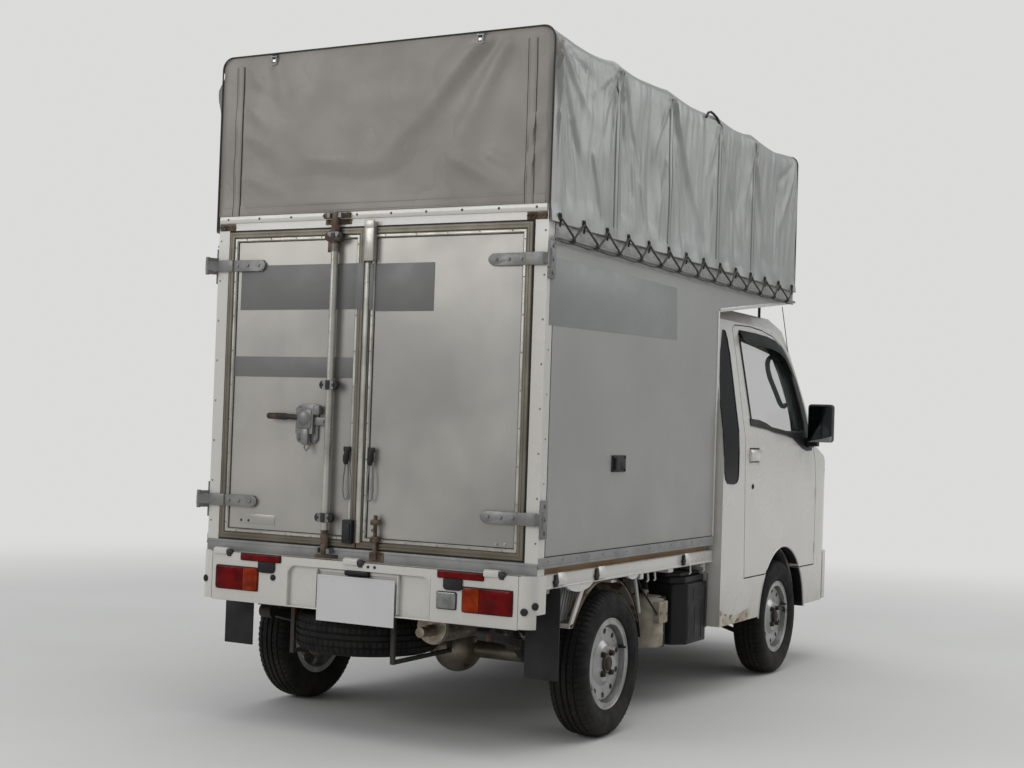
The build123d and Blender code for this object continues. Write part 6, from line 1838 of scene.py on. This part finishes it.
def dash_vents():
    """Four vents with their slats and knobs."""
    vents = Form()
    z = 1.005
    rim = ((0.0, -0.001), (0.0, 0.006), (0.003, 0.008), (0.008, 0.008), (0.010, 0.004), (0.010, -0.001))
    for x in (-0.585, -0.110, 0.110, 0.585):
        vents.ring_frame((x - 0.058, x + 0.058), (z - 0.030, z + 0.030), rim, DASH_Y)
        for step in range(5):
            low = z - 0.019 + step * 0.0085
            vents.box((x - 0.050, x + 0.050), dash_span(0.005, -0.001), (low, low + 0.0035), 0.0006)
        vents.box((x - 0.006, x + 0.006), (DASH_Y - 0.010, DASH_Y), (z - 0.008, z + 0.004), 0.002)
    vents.done("dash_vents", "black_plastic")


def dash_centre():
    """The radio's panel with its buttons, and the heater's with three knobs."""
    centre = Form()
    centre.box((-0.100, 0.100), dash_span(0.006, -0.002), (0.905, 0.962), 0.002)
    centre.box((-0.094, 0.094), (DASH_Y - 0.008, DASH_Y), (0.930, 0.956), 0.001)
    for step in range(6):
        x = -0.080 + step * 0.032
        centre.box((x - 0.011, x + 0.011), (DASH_Y - 0.0095, DASH_Y), (0.911, 0.924), 0.0015)
    centre.box((-0.120, 0.120), dash_span(0.004, -0.002), (0.846, 0.898), 0.002)
    for x in (-0.078, 0.0, 0.078):
        centre.lathe(((0, 0.021), (0.008, 0.021), (0.010, 0.019), (0.010, 0.0155), (0.024, 0.0140),
                      (0.026, 0.012), (0.026, 0)), (x, DASH_Y - 0.003, 0.872), BACK, 24)
        centre.box((x - 0.0015, x + 0.0015), dash_span(0.0305, 0.018), (0.874, 0.885), 0.0005)
    centre.done("dash_centre", "black_plastic")


def instruments():
    """The hood over the instruments and their three dials."""
    hood = [(0.205, 1.060), (0.215, 1.108), (0.245, 1.126), (0.330, 1.130), (0.415, 1.126), (0.445, 1.108),
            (0.455, 1.060)]
    Form().prism(hood, (1.235, 1.385), "y", 0.006).done("cluster_hood", "dash_plastic")
    dials = Form()
    for x, radius in ((0.262, 0.026), (0.330, 0.034), (0.398, 0.026)):
        dials.lathe(((-0.001, radius), (0.004, radius), (0.005, radius * 0.93), (0.002, radius * 0.90),
                     (0.002, 0)), (x, 1.236, 1.088), BACK, 28)
        dials.box((x - 0.0012, x + 0.0012), (1.2325, 1.2345), (1.088, 1.088 + radius * 0.75), 0.0003)
        dials.lathe(((0.002, 0.004), (0.005, 0.004), (0.0055, 0)), (x, 1.236, 1.088), BACK, 12)
    dials.done("cluster_dials", "black_plastic", slot="dash_plastic")


def glove_box():
    """The glove box's rim and catch, and the seam along the dashboard's upper edge."""
    glove = Form()
    glove.ring_frame((-0.560, -0.170), (0.858, 0.955), ((0.0, -0.001), (0.0, 0.003), (0.004, 0.005),
                                                        (0.009, 0.003), (0.009, -0.001)), DASH_Y)
    glove.box((-0.395, -0.335), dash_span(0.009, -0.001), (0.938, 0.950), 0.003)
    glove.tube([(x, DASH_Y - 0.002, 1.050) for x in (-0.660, 0.660)], 0.006, 8)
    glove.done("glove_box", "dash_plastic")


def steering_wheel_parts():
    """The steering wheel's boss and spokes, and the column's stalks and collar."""
    boss = Form()
    boss.lathe(((0.008, 0), (0.008, 0.050), (0.012, 0.056), (0.022, 0.054), (0.029, 0.042), (0.032, 0.020),
                (0.033, 0)), WHEEL_CENTRE, COLUMN, 32)
    for angle in (0, 180, 270):
        t = math.radians(angle)
        other = COLUMN.cross(Vector((1, 0, 0)))
        along = Vector((1, 0, 0)) * math.cos(t) + other * math.sin(t)
        across = COLUMN.cross(along)
        for spread in (-0.010, 0.010):
            boss.tube([WHEEL_CENTRE + COLUMN * rise + along * reach + across * spread * share for rise, reach,
                       share in ((0.012, 0.045, 1.8), (0.006, 0.100, 1), (0.002, 0.172, 0.8))], 0.0085, 10)
    boss.done("steering_boss", "dash_plastic", "steering")
    stalks = Form()
    for side in (-1, 1):
        root = WHEEL_CENTRE - COLUMN * 0.075
        stalks.tube([root, root + Vector((side * 0.090, 0.004, 0.010)),
                     root + Vector((side * 0.150, -0.004, 0.020))], 0.0058, 10)
    stalks.lathe(((-0.130, 0.030), (-0.122, 0.036), (-0.050, 0.036), (-0.042, 0.030)),
                 WHEEL_CENTRE, COLUMN, 24)
    stalks.done("column_stalks", "black_plastic")


def pedals_and_shaft():
    """Three ribbed pedals on their arms, and the steering shaft with its boot on the floor."""
    pedals = Form()
    for x, wide, tall in ((0.215, 0.030, 0.030), (0.335, 0.036, 0.030), (0.450, 0.022, 0.055)):
        pedals.tube([(x, 1.300, 0.760), (x, 1.255, 0.680), (x, 1.180, 0.600)], 0.0075, 8)
        turn = Matrix.Rotation(math.radians(-38), 3, "X")
        pedals.box((x - wide, x + wide), (1.172, 1.184), (0.590 - tall, 0.590 + tall), 0.003, turn)
        for step in range(4):
            z = 0.590 - tall * 0.7 + step * tall * 0.45
            y = 1.170 + (z - 0.590) * 0.78
            half = wide * 0.85
            pedals.box((x - half, x + half), (y - 0.003, y + 0.003), (z - 0.002, z + 0.002), 0.0005)
    pedals.done("pedals", "black_rubber")
    shaft = Form()
    shaft.tube([(0.330, 1.200, 0.716), (0.330, 1.305, FLOOR_Z + 0.008)], 0.0120, 12)
    shaft.lathe(((0.0, 0.040), (0.010, 0.040), (0.014, 0.030), (0.030, 0.026), (0.034, 0.019), (0.060, 0.016),
                 (0.060, 0)), (0.330, 1.305, FLOOR_Z), (0, -0.25, 1.0), 20)
    shaft.done("steering_shaft", "black_rubber")


def levers():
    """The gear lever on its pleated boot and the handbrake between the seats."""
    lever = Form()
    for step in range(5):
        lever.lathe(((0, 0.062 - step * 0.010), (0.012, 0.062 - step * 0.010), (0.014, 0.054 - step * 0.010),
                     (0.018, 0.052 - step * 0.010)), (0.0, 0.760, FLOOR_Z + step * 0.017), UP, 24)
    lever.tube([(0.0, 0.760, FLOOR_Z + 0.05), (0.006, 0.750, 0.700), (0.016, 0.735, 0.830)], 0.0070, 10)
    lever.lathe(((0, 0.008), (0.006, 0.016), (0.026, 0.023), (0.044, 0.020), (0.054, 0.008), (0.056, 0)),
                (0.016, 0.735, 0.822), (0.1, -0.1, 1), 20)
    lever.done("gear_lever", "black_plastic")
    brake = Form()
    brake.box((-0.035, 0.035), (0.300, 0.560), (PLATFORM_Z, PLATFORM_Z + 0.022), 0.006)
    brake.tube([(0.0, 0.530, PLATFORM_Z + 0.020), (0.0, 0.440, PLATFORM_Z + 0.048),
                (0.0, 0.340, PLATFORM_Z + 0.060)], 0.0085, 10)
    brake.tube([(0.0, 0.350, PLATFORM_Z + 0.059), (0.0, 0.240, PLATFORM_Z + 0.070)], 0.0140, 12)
    brake.lathe(((0, 0.006), (0.010, 0.006), (0.012, 0.004), (0.012, 0)), (0.0, 0.240, PLATFORM_Z + 0.070),
                (0, -1, 0.08), 12)
    brake.done("handbrake", "black_plastic")


def floor_mats():
    """A ribbed rubber mat on each side."""
    mat = Form()
    for x in (-0.330, 0.330):
        mat.box((x - 0.150, x + 0.150), (0.700, 1.160), (FLOOR_Z, FLOOR_Z + 0.008), 0.003)
        for step in range(9):
            y = 0.730 + step * 0.050
            mat.box((x - 0.130, x + 0.130), (y, y + 0.014), (FLOOR_Z + 0.006, FLOOR_Z + 0.011), 0.002)
    mat.done("floor_mats", "black_rubber")


def door_linings():
    """The lining with its arm rest and pocket, the inner handle and the window winder of each door."""
    for name, side in SIDES:
        body = "cab_door_" + name

        def x(a, b):
            """From a to b inwards of the door's inner face."""
            return pair(side, DOOR_INNER_X - a, DOOR_INNER_X - b)

        lining = Form()
        lining.prism([(0.345, 0.680), (1.040, 0.680), (1.150, 0.760), (1.150, 1.060), (1.060, 1.100),
                      (0.345, 1.100)], x(-0.001, 0.006), "x", 0.002)
        lining.box(x(0.0, 0.040), (0.440, 0.800), (0.880, 0.930), 0.012)
        lining.box(x(0.0, 0.022), (0.400, 0.980), (0.700, 0.712), 0.003)
        lining.box(x(0.018, 0.024), (0.400, 0.980), (0.700, 0.790), 0.003)
        lining.done("door_lining_" + name, "door_lining", body, slot="dash_plastic")
        handles = Form()
        handles.ring_frame((0.0, 0.100), (0.0, 0.046), ((0.0, 0.0), (0.0, 0.004), (0.004, 0.006),
                                                        (0.009, 0.004), (0.009, 0.0)), 0.0)
        for vert in handles.bm.verts:
            vert.co = Vector((side * (DOOR_INNER_X - 0.006 + vert.co.y), 0.900 + vert.co.x,
                              0.975 + vert.co.z))
        handles.box(x(0.006, 0.016), (0.915, 0.985), (0.990, 1.006), 0.004)
        handles.lathe(((0, 0.018), (0.010, 0.016), (0.014, 0.010), (0.014, 0)),
                      (side * (DOOR_INNER_X - 0.006), 0.860, 0.830), (-side, 0, 0), 20)
        handles.tube([(side * (DOOR_INNER_X - 0.018), 0.860, 0.830),
                      (side * (DOOR_INNER_X - 0.024), 0.800, 0.800),
                      (side * (DOOR_INNER_X - 0.024), 0.770, 0.786)], 0.0062, 10)
        handles.lathe(((0, 0.010), (0.020, 0.012), (0.026, 0.010), (0.026, 0)),
                      (side * (DOOR_INNER_X - 0.022), 0.768, 0.785), (-side, 0, 0), 16)
        handles.done("door_inner_handles_" + name, "black_plastic", body)


# Under the truck

SILENCER_X = 0.240
CANISTER_X = 0.575
CANISTER_Y = -0.408


def spring_clamps():
    """The bolts and plates that hold the rear axle to its leaf springs, and the leaves' clips."""
    straps = Form()
    for side in (-1, 1):
        for shift in (-0.045, 0.045):
            y = REAR_AXLE_Y + shift
            straps.tube([(side * x, y, z) for x, z in
                         ((0.432, 0.235), (0.432, 0.336), (0.436, 0.346), (0.489, 0.346), (0.493, 0.336),
                          (0.493, 0.235))], 0.0058, 8)
            for x in (0.432, 0.493):
                straps.bolt((side * x, y, 0.234), (0, 0, -1), 0.0095, 0.009)
        plate = (REAR_AXLE_Y - 0.062, REAR_AXLE_Y + 0.062)
        straps.box(pair(side, 0.418, 0.507), plate, (0.226, 0.234), 0.002)
        for y in (REAR_AXLE_Y - 0.30, REAR_AXLE_Y + 0.30):
            straps.box(pair(side, 0.436, 0.497), (y - 0.011, y + 0.011), (0.330, 0.372), 0.003)
    straps.done("spring_clamps", "dark_steel")


def rear_dampers():
    """A slanted damper from the axle to the frame on each side."""
    dampers = Form()
    for side in (-1, 1):
        low = Vector((side * 0.400, REAR_AXLE_Y - 0.085, 0.262))
        high = Vector((side * 0.385, REAR_AXLE_Y - 0.300, 0.520))
        along = (high - low).normalized()
        reach = (high - low).length
        dampers.lathe(((0, 0), (0, 0.014), (0.020, 0.014), (0.030, 0.022), (reach * 0.55, 0.022),
                       (reach * 0.56, 0.010), (reach * 0.62, 0.0095), (reach * 0.62, 0.027),
                       (reach - 0.03, 0.027), (reach - 0.02, 0.012), (reach, 0.012), (reach, 0)),
                      low, along, 20)
    dampers.done("rear_dampers", "dark_steel")


def brake_lines():
    """A thin pipe along each half of the rear axle."""
    lines = Form()
    for side in (1, -1):
        lines.tube([(side * x, REAR_AXLE_Y + dy, z) for x, dy, z in
                    ((0.05, 0.010, 0.330), (0.20, -0.030, 0.322), (0.36, -0.034, 0.310),
                     (0.52, -0.034, 0.300), (0.575, -0.030, 0.290))], 0.0036, 6)
    lines.done("brake_lines", "dull_metal", slot="dark_steel")


def silencer_bands():
    """The silencer's end bands, the collar of its outlet and its hangers."""
    muffler = Form()
    for y in (-1.245, -1.545):
        muffler.lathe(((-0.006, 0.0605), (-0.006, 0.0635), (0.006, 0.0635), (0.006, 0.0605)),
                      (SILENCER_X, y, 0.410), BACK, 40)
    muffler.lathe(((0.0, 0.0185), (0.0, 0.0215), (0.030, 0.0215), (0.030, 0.0185)),
                  (SILENCER_X, -1.572, 0.398), BACK, 24)
    for y in (-1.300, -1.500):
        hanger = ((SILENCER_X, 0.4705), (SILENCER_X, 0.500), (0.275, 0.515), (0.330, 0.515))
        muffler.tube([(x, y, z) for x, z in hanger], 0.0052, 8)
    muffler.done("muffler_bands", "exhaust_steel")


def battery_parts():
    """The battery's box with its cut corners, its grip and its strap."""
    case = Form()
    plan = [(0.521, -0.299), (0.640, -0.299), (0.688, -0.245), (0.688, -0.032), (0.521, -0.032)]
    case.prism(plan, (0.247, 0.500), "z", 0.006)
    lid = [(0.521, -0.299), (0.628, -0.299), (0.676, -0.248), (0.676, -0.032), (0.521, -0.032)]
    case.prism(lid, (0.498, 0.528), "z", 0.008)
    case.prism([(0.521, -0.299), (0.610, -0.299), (0.655, -0.250), (0.655, -0.032), (0.521, -0.032)],
               (0.526, 0.543), "z", 0.006)
    case.box((0.356, 0.530), (-0.199, -0.141), (0.376, 0.414), 0.003)
    for y in (-0.235, -0.160, -0.085):
        case.box((0.684, 0.6895), (y - 0.004, y + 0.004), (0.262, 0.405), 0.002)
    case.done("battery_case", "black_plastic", replaces=("battery_box",))
    grip = Form()
    grip.ring_frame((-0.185, -0.060), (0.425, 0.482), ((0.0, -0.001), (0.0, 0.0008), (0.004, 0.0016),
                                                       (0.009, 0.0008), (0.009, -0.001)), 0.0)
    for vert in grip.bm.verts:
        vert.co = Vector((0.6882 - vert.co.y, vert.co.x, vert.co.z))
    grip.box((0.6875, 0.6890), (-0.178, -0.067), (0.432, 0.475), 0)
    grip.tube([(0.6885, -0.239, 0.452), (0.6888, -0.040, 0.452)], 0.0008, 6)
    grip.done("battery_grip", "black_rubber")
    strap = Form()
    strap.tube([(0.690, -0.0325, 0.300), (0.690, -0.0325, 0.530)], 0.0030, 6)
    strap.done("battery_strap", "dull_metal", slot="black_plastic")


def canister_parts():
    """The canister behind the battery, with its ribs, cap, bracket and hoses."""
    can = Form()
    y = CANISTER_Y
    can.lathe(((0.2505, 0), (0.2505, 0.060), (0.256, 0.0686), (0.300, 0.0690), (0.304, 0.0700),
               (0.312, 0.0700), (0.316, 0.0690), (0.400, 0.0690), (0.404, 0.0700), (0.412, 0.0700),
               (0.416, 0.0690), (0.447, 0.0686), (0.4565, 0.055), (0.4565, 0)), (CANISTER_X, y, 0), UP, 40)
    can.lathe(((0.455, 0.012), (0.480, 0.012), (0.482, 0.010), (0.482, 0)), (CANISTER_X, y - 0.02, 0), UP, 16)
    can.box((0.600, 0.652), (y - 0.050, y + 0.040), (0.350, 0.440), 0.006)
    can.done("canister_shell", "canister_paint", slot="white_paint")
    hose = Form()
    hose.tube([(CANISTER_X, y - 0.02, 0.470), (0.560, y + 0.01, 0.505), (0.520, y + 0.06, 0.520),
               (0.440, y + 0.10, 0.520), (0.385, y + 0.11, 0.505)], 0.0095, 10)
    hose.tube([(0.640, y - 0.048, 0.395), (0.652, y - 0.085, 0.400), (0.640, y - 0.120, 0.440),
               (0.600, y - 0.130, 0.500), (0.585, y - 0.130, 0.540)], 0.0042, 8)
    hose.done("canister_hoses", "black_rubber")


def sill_rust():
    """The rusty, dirty patch low on each side behind the front wheel."""
    dirt = Form()
    for _, side in SIDES:
        dirt.prism([(0.004, 0.3015), (0.372, 0.3015), (0.392, 0.330), (0.372, 0.352), (0.240, 0.336),
                    (0.090, 0.345), (0.004, 0.372)], pair(side, CAB_X - 0.0005, CAB_X + 0.0007), "x", 0.0)
    dirt.done("sill_rust", "sill_dirt", slot="white_paint")


seat_pieces()
dash_vents()
dash_centre()
instruments()
glove_box()
steering_wheel_parts()
pedals_and_shaft()
levers()
floor_mats()
door_linings()
spring_clamps()
rear_dampers()
brake_lines()
silencer_bands()
battery_parts()
canister_parts()
sill_rust()

# Floor, lights and surroundings

BACKDROP = (0.86, 0.86, 0.855)
FLOOR_REACH = 40.0


def stage():
    """A plain floor that fades into the backdrop."""
    floor = bpy.data.meshes.new("floor")
    corners = ((-1, -1), (1, -1), (1, 1), (-1, 1))
    floor.from_pydata([(FLOOR_REACH * x, FLOOR_REACH * y, 0) for x, y in corners], [], [(0, 1, 2, 3)])
    obj = bpy.data.objects.new("floor", floor)
    n = Nodes("floor")
    out = n.mix(n.ramp(n.noise(0.8, 4), 0.3, 0.7), (0.80, 0.80, 0.79), (0.785, 0.785, 0.775))
    n.link(out, n.shader.inputs["Base Color"])
    n.shader.inputs["Roughness"].default_value = 0.9
    far = n.add("ShaderNodeVectorMath", operation="LENGTH")
    n.link(n.place, far.inputs[0])
    glow = n.add("ShaderNodeEmission")
    glow.inputs["Color"].default_value = linear(BACKDROP)
    blend = n.add("ShaderNodeMixShader")
    n.link(n.ramp(far.outputs["Value"], 2.6, 8.0), blend.inputs[0])
    n.link(n.shader.outputs[0], blend.inputs[1])
    n.link(glow.outputs[0], blend.inputs[2])
    n.link(blend.outputs[0], n.tree.nodes["Material Output"].inputs["Surface"])
    floor.materials.append(n.material)
    bpy.context.scene.collection.objects.link(obj)


def add_lamp(name, at, target, size, power):
    """A flat rectangular lamp turned towards a target."""
    data = bpy.data.lights.new(name, "AREA")
    data.shape = "RECTANGLE"
    data.size, data.size_y = size
    data.energy = power
    lamp = bpy.data.objects.new(name, data)
    lamp.location = at
    lamp.rotation_euler = (Vector(target) - Vector(at)).to_track_quat("-Z", "Y").to_euler()
    bpy.context.scene.collection.objects.link(lamp)


def surroundings():
    """An even sky for light, and the backdrop where the camera looks past the truck."""
    world = bpy.data.worlds.new("surroundings")
    bpy.context.scene.world = world
    world.use_nodes = True
    tree = world.node_tree
    back = tree.nodes["Background"]
    back.inputs["Color"].default_value = linear((0.86, 0.87, 0.88))
    back.inputs["Strength"].default_value = 0.62
    bright = tree.nodes.new("ShaderNodeBackground")
    bright.inputs["Color"].default_value = linear(BACKDROP)
    path = tree.nodes.new("ShaderNodeLightPath")
    seen = tree.nodes.new("ShaderNodeMath")
    seen.operation = "MAXIMUM"
    tree.links.new(path.outputs["Is Camera Ray"], seen.inputs[0])
    tree.links.new(path.outputs["Is Transmission Ray"], seen.inputs[1])
    mix = tree.nodes.new("ShaderNodeMixShader")
    tree.links.new(seen.outputs[0], mix.inputs[0])
    tree.links.new(back.outputs[0], mix.inputs[1])
    tree.links.new(bright.outputs[0], mix.inputs[2])
    tree.links.new(mix.outputs[0], tree.nodes["World Output"].inputs["Surface"])


stage()
surroundings()
add_lamp("overhead", (0.5, -0.5, 6.5), (0, 0, 1.0), (7.0, 7.0), 265)
add_lamp("behind", (-3.5, -7.5, 4.0), (0, -1.0, 1.2), (4.0, 3.0), 155)
add_lamp("side", (5.5, 5.5, 5.0), (0.5, 0, 1.2), (5.0, 4.0), 120)
bpy.context.scene.view_settings.view_transform = "Standard"
